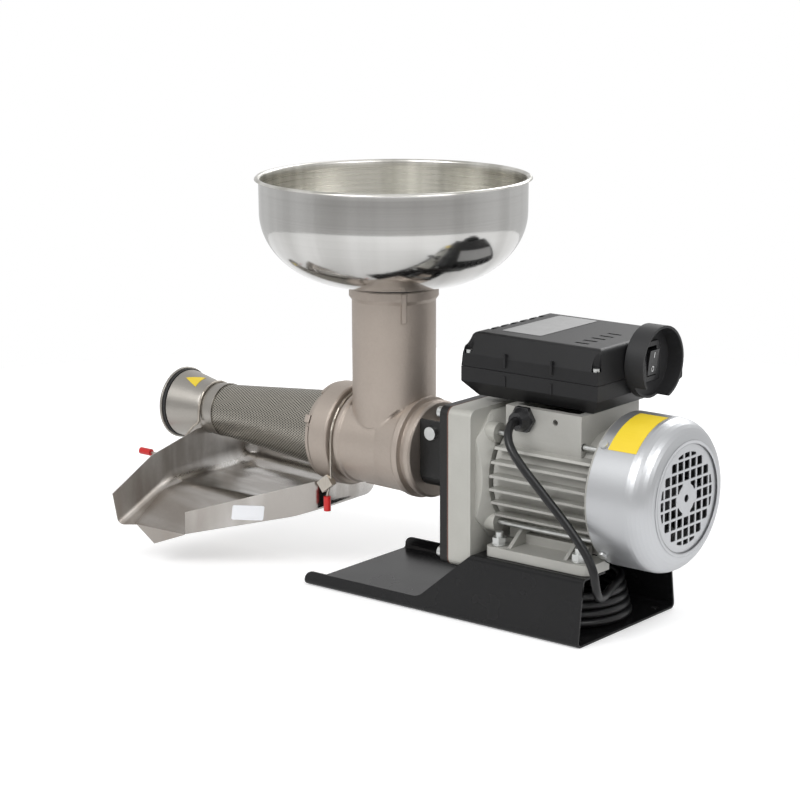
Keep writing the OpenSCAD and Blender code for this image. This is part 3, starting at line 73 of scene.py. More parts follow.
class Shade:
    """A shader socket that takes part in sums: each operator adds its Math node."""

    def __init__(self, socket):
        self.socket = socket

    def node(self, kind, settings=(), inputs=(), out=0):
        """Adds any other node beside this socket: its settings first, then its sockets."""
        made = self.socket.id_data.nodes.new(kind)
        for name, value in dict(settings).items():
            if name == "stops":
                made.color_ramp.elements.remove(made.color_ramp.elements[1])
                made.color_ramp.elements[0].position = value[0][0]
                made.color_ramp.elements[0].color = value[0][1]
                for at, colour in value[1:]:
                    made.color_ramp.elements.new(at).color = colour
            else:
                setattr(made, name, value)
        for name, value in dict(inputs).items():
            if isinstance(value, Shade):
                self.socket.id_data.links.new(value.socket, made.inputs[name])
            else:
                made.inputs[name].default_value = value
        return Shade(made.outputs[out])

    def sum(self, operation, a, b=0.0):
        return self.node("ShaderNodeMath", {"operation": operation}, {0: a, 1: b})

    def __add__(self, other):
        return self.sum("ADD", self, other)

    def __sub__(self, other):
        return self.sum("SUBTRACT", self, other)

    def __rsub__(self, other):
        return self.sum("SUBTRACT", other, self)

    def __mul__(self, other):
        return self.sum("MULTIPLY", self, other)

    def __truediv__(self, other):
        return self.sum("DIVIDE", self, other)

    def __lt__(self, other):
        return self.sum("LESS_THAN", self, other)

    def __gt__(self, other):
        return self.sum("GREATER_THAN", self, other)

    __radd__ = __add__
    __rmul__ = __mul__

    def mix(self, low, high):
        """The colour low where this value is 0 and high where it is 1."""
        return self.node("ShaderNodeMix", {"data_type": "RGBA"}, {0: self, 6: low, 7: high}, out=2)

    def ease(self, a, b, low=0.0, high=1.0):
        """A smooth step from low, where this value is a, to high, where it is b."""
        return self.node("ShaderNodeMapRange", {"interpolation_type": "SMOOTHSTEP"}, {
            "Value": self, "From Min": a, "From Max": b, "To Min": low, "To Max": high})

    def coordinate(self, axis):
        """One number of this vector: 0 for x, 1 for y and 2 for z."""
        return self.node("ShaderNodeSeparateXYZ", (), {0: self}, out=axis)


room = bpy.data.worlds.new("studio_room")
bpy.context.scene.world = room
room.use_nodes = True
room_light = room.node_tree.nodes["Background"]
rays = room.node_tree.nodes.new("ShaderNodeLightPath")
to_lens = Shade(rays.outputs["Is Camera Ray"])
to_gloss = Shade(rays.outputs["Is Glossy Ray"])
looking = to_lens.node("ShaderNodeTexCoord")
height = looking.coordinate(2)
walls = height.node("ShaderNodeValToRGB", {"stops": (
    (0.0, (0.62, 0.615, 0.61, 1)), (0.38, (0.6, 0.595, 0.59, 1)), (0.5, (0.36, 0.355, 0.35, 1)),
    (0.6, (0.42, 0.415, 0.41, 1)), (0.76, (0.72, 0.72, 0.72, 1)), (1.0, (0.72, 0.72, 0.72, 1)))},
    {0: height * 0.5 + 0.5})
forward = looking.node("ShaderNodeVectorMath", {"operation": "DOT_PRODUCT"}, {
    0: looking, 1: (0.62, -0.78, 0)}, out=1)
reflected = forward.ease(-0.35, 0.9).mix((0.7, 0.7, 0.7, 1), walls)
light = to_gloss.mix((0.62, 0.62, 0.625, 1), reflected)
room.node_tree.links.new(to_lens.mix(light, (1, 1, 1, 1)).socket, room_light.inputs["Color"])

FLOOR_R = 1.15
FLOOR_SIDES = 48
UNDER_BASE = -0.0003
floor_mesh = bpy.data.meshes.new("studio_floor")
floor_turns = [2 * math.pi * k / FLOOR_SIDES for k in range(FLOOR_SIDES)]
floor_mesh.from_pydata([(FLOOR_R * math.cos(t), FLOOR_R * math.sin(t), 0) for t in floor_turns],
                       [], [tuple(range(FLOOR_SIDES))])
floor = bpy.data.objects.new("studio_floor", floor_mesh)
floor.location.z = UNDER_BASE
bpy.context.scene.collection.objects.link(floor)
floor_paper = bpy.data.materials.new("studio_paper")
floor_paper.use_nodes = True
paper = floor_paper.node_tree.nodes["Principled BSDF"]
paper.inputs["Base Color"].default_value = (0.86, 0.86, 0.86, 1)
paper.inputs["Roughness"].default_value = 0.9
paper.inputs["Specular IOR Level"].default_value = 0.0
paper.inputs["Emission Strength"].default_value = 0.3
floor_rays = floor_paper.node_tree.nodes.new("ShaderNodeLightPath")
seen = Shade(floor_rays.outputs["Is Camera Ray"])
for kind in ("Is Glossy Ray", "Is Transmission Ray"):
    seen = seen.sum("MAXIMUM", seen, Shade(floor_rays.outputs[kind]) * 0.25)
glow = seen.mix((0, 0, 0, 1), (1, 1, 1, 1))
floor_paper.node_tree.links.new(glow.socket, paper.inputs["Emission Color"])
floor_mesh.materials.append(floor_paper)

# Power cord: a round rubber lead of 8 mm. It leaves the gland under the switch box, hangs
# down beside the feet, goes in under the motor and lies there in a coil of four turns.
# The points of its way are in millimetres.
CORD_R = 0.004
CORD_WAY = [
    (192, -57, 196.5), (192, -61, 196.5), (193, -68, 195.5), (196, -77, 190.5), (201, -83, 182.5),
    (209, -86, 173), (220, -86, 161), (233, -84, 147), (246, -82, 133), (258, -80, 120),
    (268, -78, 108), (277, -76, 96), (284, -74, 84), (289, -73, 72), (290, -71, 60),
    (288, -65, 50), (284, -55, 43.5), (280, -43, 40.8), (274, -28, 39.8), (267, -12, 39.3),
    (261, 5, 39.1), (254.9, 21.2, 39)]
CORD_TAIL = [(200, 61, 6), (194, 61, 6.1), (186, 60.8, 6.4), (177, 60, 7.7), (167, 58.8, 9.4),
             (157, 58, 10.4), (148, 58, 10.6)]
COIL_X = 206
COIL_START = (48.9, 21.2)
COIL_INNER_R, COIL_OUTER_R = 53.2, 61
COIL_TOP, COIL_LOW = 39, 6
COIL_STEPS = 72


def eased(points, steps):
    """A smooth line through the points, given in millimetres, as points in metres."""
    line = []
    for i in range(len(points) - 1):
        a, b, c, d = (Vector(points[min(max(i + k, 0), len(points) - 1)]) for k in (-1, 0, 1, 2))
        for s in range(steps):
            t = s / steps
            line.append(0.5 * ((2 * b) + (c - a) * t + (2 * a - 5 * b + 4 * c - d) * t * t
                               + (3 * b - a - 3 * c + d) * t * t * t) / 1000)
    return line + [Vector(points[-1]) / 1000]


first = math.atan2(COIL_START[1], COIL_START[0])
turning = 4 * 2 * math.pi + (math.pi / 2 - first)
coil_way = []
for i in range(1, COIL_STEPS):
    part = i / COIL_STEPS
    radius = COIL_INNER_R + (COIL_OUTER_R - COIL_INNER_R) * part
    angle = first + turning * part
    coil_way.append((COIL_X + radius * math.cos(angle), radius * math.sin(angle),
                     COIL_TOP + (COIL_LOW - COIL_TOP) * part))
cord_line = eased(CORD_WAY + coil_way + [(COIL_X, COIL_OUTER_R, COIL_LOW)] + CORD_TAIL, 4)


def bent(name, points, radius, body):
    """A lead of that radius along points in metres, with closed ends, that rides on a body."""
    line = bpy.data.curves.new(name, "CURVE")
    line.dimensions = "3D"
    line.bevel_depth = 1.0
    line.bevel_resolution = 5
    line.use_fill_caps = True
    spline = line.splines.new("POLY")
    spline.points.add(len(points) - 1)
    for point, at in zip(spline.points, points):
        point.co = (*at, 1)
        point.radius = radius
    piece = bpy.data.objects.new(name, line)
    bpy.context.scene.collection.objects.link(piece)
    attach(piece, body)
    return piece


def finish(name, **constants):
    """A material with its fixed values on the shader's own sockets, and each point's place."""
    material = bpy.data.materials.new(name)
    material.use_nodes = True
    shader = material.node_tree.nodes["Principled BSDF"]
    for socket, value in constants.items():
        shader.inputs[socket.replace("_", " ")].default_value = value
    return material, Shade(material.node_tree.nodes.new("ShaderNodeTexCoord").outputs["Object"])


def lay(material, **links):
    """Links values that vary over the surface to the shader of a material."""
    shader = material.node_tree.nodes["Principled BSDF"]
    for socket, value in links.items():
        material.node_tree.links.new(value.socket, shader.inputs[socket.replace("_", " ")])


def grain(place, scale, detail=3, stretch=(1, 1, 1)):
    """Fine noise on a surface, with so many cells to the metre and stretched along an axis."""
    drawn = place.node("ShaderNodeVectorMath", {"operation": "MULTIPLY"}, {0: place, 1: stretch})
    return place.node("ShaderNodeTexNoise", (), {"Vector": drawn, "Scale": scale, "Detail": detail})


def relief(place, height, depth, edge=0.0004):
    """A normal with worn-round edges and a height of so many metres pressed into it."""
    worn = place.node("ShaderNodeBevel", {"samples": 4}, {"Radius": edge})
    return place.node("ShaderNodeBump", (), {"Height": height, "Distance": depth, "Normal": worn})


def dress(material, *nodes):
    """Gives CAD nodes their material."""
    for name in nodes:
        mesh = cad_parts[name].data
        mesh.materials.clear()
        mesh.materials.append(material)


sheath, place = finish("rubber_sheath", Specular_IOR_Level=0.4)
dust = grain(place, 90, 4)
lay(sheath, Base_Color=dust.mix((0.005, 0.005, 0.0055, 1), (0.011, 0.011, 0.0115, 1)),
    Roughness=dust * 0.2 + 0.24, Normal=relief(place, grain(place, 1400, 2), 0.00008))
cord = bent("power_cord", cord_line, CORD_R, "machine")
cord.data.materials.append(sheath)
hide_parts("cord_lead", "cord_coil", "cord_tail")
cord_length = sum((b - a).length for a, b in zip(cord_line, cord_line[1:]))

# Plug: moulded in black rubber round three brass pins and the end of the cord. It lies on the
# tray's floor behind the coil.
dress(sheath, "mains_plug")
pin_metal, place = finish("plug_pin_brass", Metallic=1.0, Roughness=0.25)
scuffs = grain(place, 900, 3, (0.1, 1, 1))
lay(pin_metal, Base_Color=scuffs.mix((0.6, 0.5, 0.26, 1), (0.75, 0.66, 0.4, 1)),
    Roughness=scuffs * 0.3 + 0.15, Normal=relief(place, scuffs, 0.00003))
dress(pin_metal, "plug_pins")

# Base tray: one sheet of 2 mm steel, folded twice along each side and cut down in front, with
# a glossy black powder coat.
powder, place = finish("black_powder_coat", Specular_IOR_Level=0.28)
peel = grain(place, 700, 2)
smudge = grain(place, 14, 4)
lay(powder, Base_Color=smudge.mix((0.006, 0.006, 0.0065, 1), (0.012, 0.012, 0.0125, 1)),
    Roughness=smudge * 0.22 + 0.14, Normal=relief(place, peel, 0.00006, 0.0006))
dress(powder, "base_tray")

# Motor: frame, feet and rear shield are cast aluminium under silver paint, with thin fins
# along the sides and a flat pad under the switch box.
motor_paint, place = finish("silver_motor_paint", Metallic=0.35)
casting = grain(place, 420, 5)
stain = grain(place, 22, 5)
lay(motor_paint, Base_Color=stain.mix((0.37, 0.365, 0.34, 1), (0.47, 0.465, 0.435, 1)),
    Roughness=casting * 0.25 + 0.36, Normal=relief(place, casting, 0.0002, 0.0008))
dress(motor_paint, "stator_frame", "motor_feet", "rear_shield")

# Laminations and rotor: stacks of thin dull steel plates, pressed into the frame and on the
# shaft, so they show fine lines across.
PLATES_PER_METRE = 2000
plates, place = finish("steel_laminations", Metallic=0.8)
across = place.coordinate(0) * PLATES_PER_METRE
sheets = across.sum("FRACT", across)
lay(plates, Base_Color=sheets.mix((0.16, 0.15, 0.145, 1), (0.3, 0.29, 0.28, 1)),
    Roughness=grain(place, 300) * 0.3 + 0.4, Normal=relief(place, sheets, 0.0001))
dress(plates, "stator_core", "rotor_core")

# Winding: varnished copper wire, wound through the laminations and gathered in a ring at each
# end of them.
copper, place = finish("varnished_copper", Metallic=0.7, Coat_Roughness=0.1)
strand = grain(place, 500, 2, (4, 1, 1))
lay(copper, Base_Color=strand.mix((0.28, 0.09, 0.03, 1), (0.55, 0.24, 0.09, 1)),
    Roughness=strand * 0.3 + 0.25, Coat_Weight=strand * 0.6, Normal=relief(place, strand, 0.0006))
dress(copper, "stator_winding")

# Shafts, bearings and gears: ground steel for what turns in the bearings, and hobbed steel,
# duller and oiled, for the gears of both stages.
ground, place = finish("ground_steel", Metallic=1.0)
hone = grain(place, 700, 2, (3, 1, 1))
lay(ground, Base_Color=hone.mix((0.42, 0.42, 0.43, 1), (0.6, 0.6, 0.61, 1)),
    Roughness=hone * 0.3 + 0.14, Normal=relief(place, hone, 0.00004, 0.0003))
dress(ground, "rotor_shaft", "layshaft", "output_shaft", "motor_bearings", "layshaft_bearings",
      "output_bearings")
hobbed, place = finish("hobbed_gear_steel", Metallic=1.0)
oil = grain(place, 60, 4)
cuts = grain(place, 1500, 2, (4, 1, 1))
lay(hobbed, Base_Color=oil.mix((0.2, 0.195, 0.19, 1), (0.4, 0.395, 0.39, 1)),
    Roughness=oil * 0.35 + 0.2, Normal=relief(place, cuts, 0.00004, 0.0003))
dress(hobbed, "motor_pinion", "fast_wheel", "slow_pinion", "output_wheel")

# Screws, nuts and tie rods: turned steel with bright zinc plating. They hold the feet, the
# gearbox, the fan cover, the switch box and the cradle.
zinc, place = finish("zinc_plating", Metallic=1.0)
cloud = grain(place, 160, 4)
lay(zinc, Base_Color=cloud.mix((0.5, 0.51, 0.5, 1), (0.72, 0.73, 0.72, 1)),
    Roughness=cloud * 0.3 + 0.2, Normal=relief(place, grain(place, 1800, 2), 0.00003, 0.0004))
dress(zinc, "foot_bolts", "tie_rods", "gearbox_bolts", "fan_cover_screws", "box_screws",
      "cradle_bolt")

# Fan: moulded in black plastic and pressed on the rear end of the shaft. The round guard of
# the switch is of the same plastic.
moulded, place = finish("black_moulded_plastic", Specular_IOR_Level=0.35)
pores = grain(place, 1600, 2)
tone = grain(place, 30, 3)
lay(moulded, Base_Color=tone.mix((0.02, 0.02, 0.021, 1), (0.034, 0.034, 0.035, 1)),
    Roughness=pores * 0.2 + 0.4, Normal=relief(place, pores, 0.00008, 0.0006))
dress(moulded, "cooling_fan", "switch_hood")

# Fan cover: deep-drawn steel sheet with a wide rounded edge and a grille of square holes, in
# satin silver paint.
MOTOR_Z = 0.135
FAN_COVER_R = 0.072
FILM_GAP, FILM_T = 0.0001, 0.00015
cover_paint, place = finish("silver_cover_paint", Metallic=0.85)
mist = grain(place, 900, 3)
drift = grain(place, 9, 3)
lay(cover_paint, Base_Color=drift.mix((0.5, 0.51, 0.525, 1), (0.6, 0.61, 0.625, 1)),
    Roughness=mist * 0.12 + 0.32, Normal=relief(place, mist, 0.00003, 0.0006))
dress(cover_paint, "fan_cover", "fan_grille")


def shaped(made, name, body, sharp_deg=None):
    """The piece of a built mesh, on a body, and smooth where its edges are below an angle."""
    bmesh.ops.recalc_face_normals(made, faces=made.faces)
    mesh = bpy.data.meshes.new(name)
    made.to_mesh(mesh)
    if sharp_deg:
        for face in mesh.polygons:
            face.use_smooth = True
        mesh.set_sharp_from_angle(angle=math.radians(sharp_deg))
    piece = bpy.data.objects.new(name, mesh)
    bpy.context.scene.collection.objects.link(piece)
    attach(piece, body)
    return piece


def curved_label(name, x0, x1, radius, axis_z, from_deg, to_deg, body, steps=16):
    """A thin blank sticker on a round surface about an axis along X."""
    made = bmesh.new()
    turns = [math.radians(from_deg + (to_deg - from_deg) * i / steps) for i in range(steps + 1)]
    rows = []
    for lift in (FILM_GAP, FILM_GAP + FILM_T):
        r = radius + lift
        rows.append([[made.verts.new((x, r * math.cos(a), axis_z + r * math.sin(a)))
                      for x in (x0, x1)] for a in turns])
    under, over = rows
    for i in range(steps):
        made.faces.new((over[i][0], over[i][1], over[i + 1][1], over[i + 1][0]))
        made.faces.new((under[i][0], under[i + 1][0], under[i + 1][1], under[i][1]))
        for e in range(2):
            made.faces.new((under[i][e], over[i][e], over[i + 1][e], under[i + 1][e]))
    for i in (0, steps):
        made.faces.new((under[i][0], under[i][1], over[i][1], over[i][0]))
    return shaped(made, name, body)


yellow_film, place = finish("yellow_label_film", Roughness=0.35)
fade = grain(place, 40, 3)
lay(yellow_film, Base_Color=fade.mix((0.78, 0.56, 0.02, 1), (0.86, 0.66, 0.05, 1)),
    Roughness=fade * 0.2 + 0.3, Normal=relief(place, fade, 0.00003, 0.0002))
fan_label = curved_label("blank_fan_label", 0.2895, 0.3195, FAN_COVER_R, MOTOR_Z, 91, 138,
                         "machine")
fan_label.data.materials.append(yellow_film)

# Gearbox: a cast housing in silver paint, a reddish fibre gasket and a black cover with the
# hub of the output shaft, bolted together. Its seals are black rubber.
housing_paint, place = finish("silver_housing_paint", Metallic=0.3)
skin = grain(place, 420, 5)
stain = grain(place, 22, 5)
lay(housing_paint, Base_Color=stain.mix((0.41, 0.405, 0.37, 1), (0.52, 0.515, 0.48, 1)),
    Roughness=skin * 0.25 + 0.36, Normal=relief(place, skin, 0.0002, 0.0008))
dress(housing_paint, "gear_housing")
fibre, place = finish("gasket_fibre", Roughness=0.8)
flock = grain(place, 900, 4)
lay(fibre, Base_Color=flock.mix((0.09, 0.05, 0.04, 1), (0.17, 0.09, 0.07, 1)),
    Roughness=flock * 0.2 + 0.7, Normal=relief(place, flock, 0.0001, 0.0002))
dress(fibre, "cover_gasket")
cover_black, place = finish("black_cast_cover", Specular_IOR_Level=0.35)
cast_skin = grain(place, 500, 4)
tone = grain(place, 30, 4)
lay(cover_black, Base_Color=tone.mix((0.007, 0.007, 0.007, 1), (0.016, 0.0155, 0.015, 1)),
    Roughness=cast_skin * 0.25 + 0.3, Normal=relief(place, cast_skin, 0.00015, 0.0008))
dress(cover_black, "gear_cover", "cradle")
seal_rubber, place = finish("seal_rubber")
bloom = grain(place, 200, 3)
lay(seal_rubber, Base_Color=bloom.mix((0.012, 0.012, 0.012, 1), (0.03, 0.03, 0.03, 1)),
    Roughness=bloom * 0.2 + 0.5, Normal=relief(place, bloom, 0.00005, 0.0003))
dress(seal_rubber, "shaft_seal", "hopper_gasket", "cup_ring")

# Strainer body: throat, barrel and flanges are one iron casting, tinned to a warm satin grey.
# The filter's flange is cast and tinned in the same way.
tinned, place = finish("tinned_cast_iron", Metallic=0.72)
sand = grain(place, 380, 5)
patch = grain(place, 18, 4)
lay(tinned, Base_Color=patch.mix((0.4, 0.345, 0.3, 1), (0.49, 0.43, 0.38, 1)),
    Roughness=sand * 0.3 + 0.32, Normal=relief(place, sand, 0.00022, 0.0016))
dress(tinned, "strainer_body", "strainer_throat", "filter_flange")

# Casting fillet: the rounded inner corner where the throat grows out of the barrel, as a ball
# leaves it that rolls round the throat. It is small on top, next to the ring and the flange,
# and wider down both sides. Sizes are in millimetres, the barrel's as (x, radius).
BARREL = [(-70, 51.5), (-47, 50), (-47, 44.5), (-41, 44.5), (-40, 47), (-36, 47), (-34, 45.3),
          (10, 45.5), (34, 49), (36, 50), (42, 50), (43, 45), (48, 45)]
SCREW_Z = 138
THROAT_R = 41.2
SMALL_BALL, WIDE_BALL = 1.2, 8.5
SUNK = 0.06
FLARE_FROM, FLARE_OVER = 0.55, 0.35
BALL_AXIS_LOW, BALL_AXIS_HIGH = 45.0, 75.0
SKIRT = 0.8
FILLET_STEPS = 144
ARC_STEPS = 8


def on_profile(x, r):
    """The point of the barrel's outline nearest to a point, both as (x, radius) in mm."""
    best = None
    for a, b in zip(BARREL, BARREL[1:]):
        a, b = Vector(a), Vector(b)
        t = min(max((Vector((x, r)) - a).dot(b - a) / (b - a).length_squared, 0), 1)
        q = a.lerp(b, t)
        if best is None or (q - Vector((x, r))).length < (best - Vector((x, r))).length:
            best = q
    return best


made = bmesh.new()
sections = []
for k in range(FILLET_STEPS):
    turned_by = math.radians(360 / FILLET_STEPS * k)
    c, v = math.cos(turned_by), math.sin(turned_by)
    wide = min(max((abs(v) - FLARE_FROM) / FLARE_OVER, 0), 1)
    ball = SMALL_BALL + (WIDE_BALL - SMALL_BALL) * wide * wide * (3 - 2 * wide)
    x, y = (THROAT_R - SUNK + ball) * c, (THROAT_R - SUNK + ball) * v
    low, high = BALL_AXIS_LOW, BALL_AXIS_HIGH
    for _ in range(40):
        r = (low + high) / 2
        if (on_profile(x, r) - Vector((x, r))).length < ball - SUNK:
            low = r
        else:
            high = r
    up = math.sqrt(r * r - y * y)
    centre = Vector((x, y, SCREW_Z + up))
    touch = on_profile(x, r) - Vector((x, r))
    to_throat = Vector((-c, -v, 0))
    to_barrel = Vector((touch.x, touch.y * y / r, touch.y * up / r)).normalized()
    points = [centre + to_throat.slerp(to_barrel, j / ARC_STEPS) * ball
              for j in range(ARC_STEPS + 1)]
    points.append(points[-1] + to_barrel * SKIRT + to_throat * SKIRT / 2)
    points.append(points[0] + to_throat * SKIRT + to_barrel * SKIRT / 2)
    sections.append([made.verts.new(p / 1000) for p in points])
for one, two in zip(sections, sections[1:] + sections[:1]):
    for j in range(len(one)):
        after = (j + 1) % len(one)
        made.faces.new((one[j], two[j], two[after], one[after]))
fillet = shaped(made, "throat_fillet", "machine", sharp_deg=60)
fillet.data.materials.append(tinned)

# Auger: one screw moulded in white food-grade plastic, driven by the square on the shaft. A red
# rubber ring seals its shank in the body.
red_rubber, place = finish("red_seal_rubber", Roughness=0.5)
lay(red_rubber, Base_Color=grain(place, 90).mix((0.25, 0.02, 0.015, 1), (0.35, 0.04, 0.03, 1)),
    Normal=relief(place, grain(place, 900), 0.00005, 0.0003))
dress(red_rubber, "body_seal")
food_white, place = finish("white_food_plastic", Subsurface_Weight=0.05)
swirl = grain(place, 40, 3)
lay(food_white, Base_Color=swirl.mix((0.74, 0.72, 0.64, 1), (0.83, 0.81, 0.74, 1)),
    Roughness=swirl * 0.2 + 0.35, Normal=relief(place, grain(place, 700), 0.00008, 0.0006))
dress(food_white, "auger")

# Hopper bowl: spun from polished stainless sheet, with a spigot that stands in the throat and
# a rolled rim. It lifts straight off. Sizes in millimetres, its outline as (radius, height).
BOWL_T = 1.2
BOWL_STEPS = 192
WALL_STEPS = 32
RING_CELLS = 700


def turned(name, outline, body, steps, second_from):
    """A piece turned about Z from a closed outline of (radius, height) in mm.

    The outline's points from second_from on take the piece's second material."""
    made = bmesh.new()
    rings = []
    for s in range(steps):
        c, v = math.cos(2 * math.pi * s / steps), math.sin(2 * math.pi * s / steps)
        rings.append([made.verts.new((r * c / 1000, r * v / 1000, h / 1000))
                      for r, h in outline])
    n = len(outline)
    for s in range(steps):
        a, b = rings[s], rings[(s + 1) % steps]
        for i in range(n):
            panel = made.faces.new((a[i], b[i], b[(i + 1) % n], a[(i + 1) % n]))
            panel.material_index = int(i >= second_from)
    return shaped(made, name, body, sharp_deg=40)


def thick(path, t):
    """A closed outline: the path, and the same path moved to its left by t."""
    moved = []
    for i, p in enumerate(path):
        a, b = Vector(path[max(i - 1, 0)]), Vector(path[min(i + 1, len(path) - 1)])
        along = (b - a).normalized()
        moved.append((p[0] - along.y * t, p[1] + along.x * t))
    return path + moved[::-1]


def arc(cx, cy, r, a0, a1, steps):
    """The points of an arc about (cx, cy), from one angle to another in degrees."""
    return [(cx + r * math.cos(math.radians(a0 + (a1 - a0) * i / steps)),
             cy + r * math.sin(math.radians(a0 + (a1 - a0) * i / steps))) for i in range(steps + 1)]


bowl_path = [(36.7, 272.2), (36.7, 293.0)] + arc(39.7, 293.3, 3.0, 180, 90, 5)
for i in range(WALL_STEPS + 1):
    a = math.radians(90 * i / WALL_STEPS)
    bowl_path.append((41.2 + 89.3 * math.sin(a), 296.3 + 71.7 * (1 - math.cos(a))))
bowl_path += [(130.6, 380), (130.7, 394)]
bowl_path += arc(132.1, 398.9, 1.6, 195, 10, 8)[1:]
bowl_path = [p for i, p in enumerate(bowl_path)
             if i == 0 or math.dist(p, bowl_path[i - 1]) > 0.01]
bowl = turned("spun_bowl", thick(bowl_path, BOWL_T), "bowl", BOWL_STEPS, len(bowl_path))


def spun(place):
    """Fine rings round Z, such as spinning and brushing leave."""
    flat = place.node("ShaderNodeVectorMath", {"operation": "MULTIPLY"}, {0: place, 1: (1, 1, 0)})
    from_axis = place.node("ShaderNodeVectorMath", {"operation": "LENGTH"}, {0: flat}, out=1)
    on_wall = place.node("ShaderNodeCombineXYZ", (), {0: from_axis, 1: place.coordinate(2)})
    return place.node("ShaderNodeTexNoise", {"noise_dimensions": "2D"}, {
        "Vector": on_wall, "Scale": RING_CELLS, "Detail": 3})


def painted_sheen(place):
    """Painted highlight: bands up and down the wall, standing in for light gathered in rings too
    fine to see.
    """
    flat = place.node("ShaderNodeVectorMath", {"operation": "MULTIPLY"}, {0: place, 1: (1, 1, 0)})
    round_it = place.node("ShaderNodeVectorMath", {"operation": "NORMALIZE"}, {0: flat})
    bands = place.node("ShaderNodeTexNoise", (), {"Vector": round_it, "Scale": 3.2, "Detail": 3})
    return bands.ease(0.36, 0.62)


# Both stainless colours mix the real spun rings with painted highlight bands round the bowl; the
# inside's painted bands are brighter.
mirror_steel, place = finish("polished_stainless", Metallic=1.0)
rings = spun(place)
rings_and_painted_sheen = rings * 0.4 + painted_sheen(place) * 0.6
lay(mirror_steel, Base_Color=rings_and_painted_sheen.mix((0.47, 0.465, 0.45, 1), (0.63, 0.625, 0.61, 1)),
    Roughness=rings * 0.12 + 0.06, Normal=relief(place, rings, 0.000015, 0.0002))
brushed_steel, place = finish("brushed_stainless", Metallic=1.0)
rings = spun(place)
rings_and_painted_sheen = rings * 0.3 + painted_sheen(place) * 0.7
lay(brushed_steel, Base_Color=rings_and_painted_sheen.mix((0.45, 0.44, 0.4, 1), (0.86, 0.845, 0.8, 1)),
    Roughness=rings * 0.15 + 0.22, Normal=relief(place, rings, 0.00004, 0.0002))
bowl.data.materials.append(mirror_steel)
bowl.data.materials.append(brushed_steel)
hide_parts("hopper_bowl")

# Filter: a cone rolled from stainless sheet full of small holes in staggered rows, and the
# waste cup at its small end. The cone's tip would lie at -CONE_TIP on its axis. Rows and holes
# are measured on the flat sheet, in pitches.
CONE_TIP, CONE_COS, CONE_SIN = 0.5245, 0.996, 0.0885
HOLE_PITCH = 0.0026
ROW_HEIGHT, HOLE_R, HOLE_EDGE_R = 0.866, 0.29, 0.37
HOLES_FROM, HOLES_TO = -0.2275, -0.0825
sieve, place = finish("perforated_stainless")
cx, cy, cz = (place.coordinate(axis) for axis in range(3))
slant = (cx + CONE_TIP) / CONE_COS
fan = cy.sum("ARCTAN2", cy, cz - SCREW_Z / 1000) * CONE_SIN
row = slant * fan.sum("COSINE", fan) / (HOLE_PITCH * ROW_HEIGHT)
line_no = row.sum("FLOOR", row)
odd = line_no.sum("MODULO", line_no, 2.0)
along = slant * fan.sum("SINE", fan) / HOLE_PITCH + odd * 0.5 + 100
sideways = along.sum("FRACT", along) - 0.5
down = (row.sum("FRACT", row) - 0.5) * ROW_HEIGHT
from_hole = sideways.sum("SQRT", sideways * sideways + down * down)
on_sheet = (cx < HOLES_TO) * (cx > HOLES_FROM)
# The holes are not cut: they are painted near black and without metal, as painted shade seen
# through the sheet, and pressed in by the bump.
solid = 1 - (1 - from_hole.ease(HOLE_R, HOLE_EDGE_R)) * on_sheet
lay(sieve, Base_Color=solid.mix((0.012, 0.011, 0.01, 1), (0.46, 0.435, 0.38, 1)),
    Metallic=solid, Roughness=0.75 - solid * 0.45 + grain(place, 300) * 0.1,
    Normal=relief(place, solid, 0.0002, 0.0002))
dress(sieve, "filter_cone")
satin_steel, place = finish("satin_stainless", Metallic=1.0)
brush = grain(place, 500, 3, (1, 6, 6))
lay(satin_steel, Base_Color=brush.mix((0.33, 0.31, 0.285, 1), (0.46, 0.44, 0.405, 1)),
    Roughness=brush * 0.2 + 0.28, Normal=relief(place, brush, 0.00003, 0.0008))
dress(satin_steel, "waste_cup")

# Warning triangle: a blank sticker of yellow film, bent round the outside of the waste cup.
# Its corners are given as x in metres and a turn in degrees.
CUP_NECK_X, CUP_NECK_R, CUP_SLOPE = -0.244, 0.0275, 0.2027
SIGN_T = 0.0002
SIGN_STEPS = 8


def on_cup(x, turn, lift):
    """A point over the cup's outside, x and lift in metres and the turn in degrees."""
    r = CUP_NECK_R + (CUP_NECK_X - x) * CUP_SLOPE + lift
    turn = math.radians(turn)
    return Vector((x, r * math.cos(turn), SCREW_Z / 1000 + r * math.sin(turn)))


corner, *others = (Vector((-0.2712, 113.7)), Vector((-0.2548, 89.7)), Vector((-0.2535, 126.9)))
side_one, side_two = (other - corner for other in others)
made = bmesh.new()
layers = []
for lift in (FILM_GAP, FILM_GAP + SIGN_T):
    layer = {}
    for i in range(SIGN_STEPS + 1):
        for j in range(SIGN_STEPS + 1 - i):
            spot = corner + side_one * (i / SIGN_STEPS) + side_two * (j / SIGN_STEPS)
            layer[i, j] = made.verts.new(on_cup(*spot, lift))
    layers.append(layer)
for layer in layers:
    for i in range(SIGN_STEPS):
        for j in range(SIGN_STEPS - i):
            made.faces.new((layer[i, j], layer[i + 1, j], layer[i, j + 1]))
            if i + j < SIGN_STEPS - 1:
                made.faces.new((layer[i + 1, j], layer[i + 1, j + 1], layer[i, j + 1]))
rim = ([(i, 0) for i in range(SIGN_STEPS)] + [(SIGN_STEPS - i, i) for i in range(SIGN_STEPS)]
       + [(0, SIGN_STEPS - i) for i in range(SIGN_STEPS)])
for key, after in zip(rim, rim[1:] + rim[:1]):
    made.faces.new((layers[0][key], layers[0][after], layers[1][after], layers[1][key]))
cup_sign = shaped(made, "blank_cup_sign", "machine")
cup_sign.data.materials.append(yellow_film)

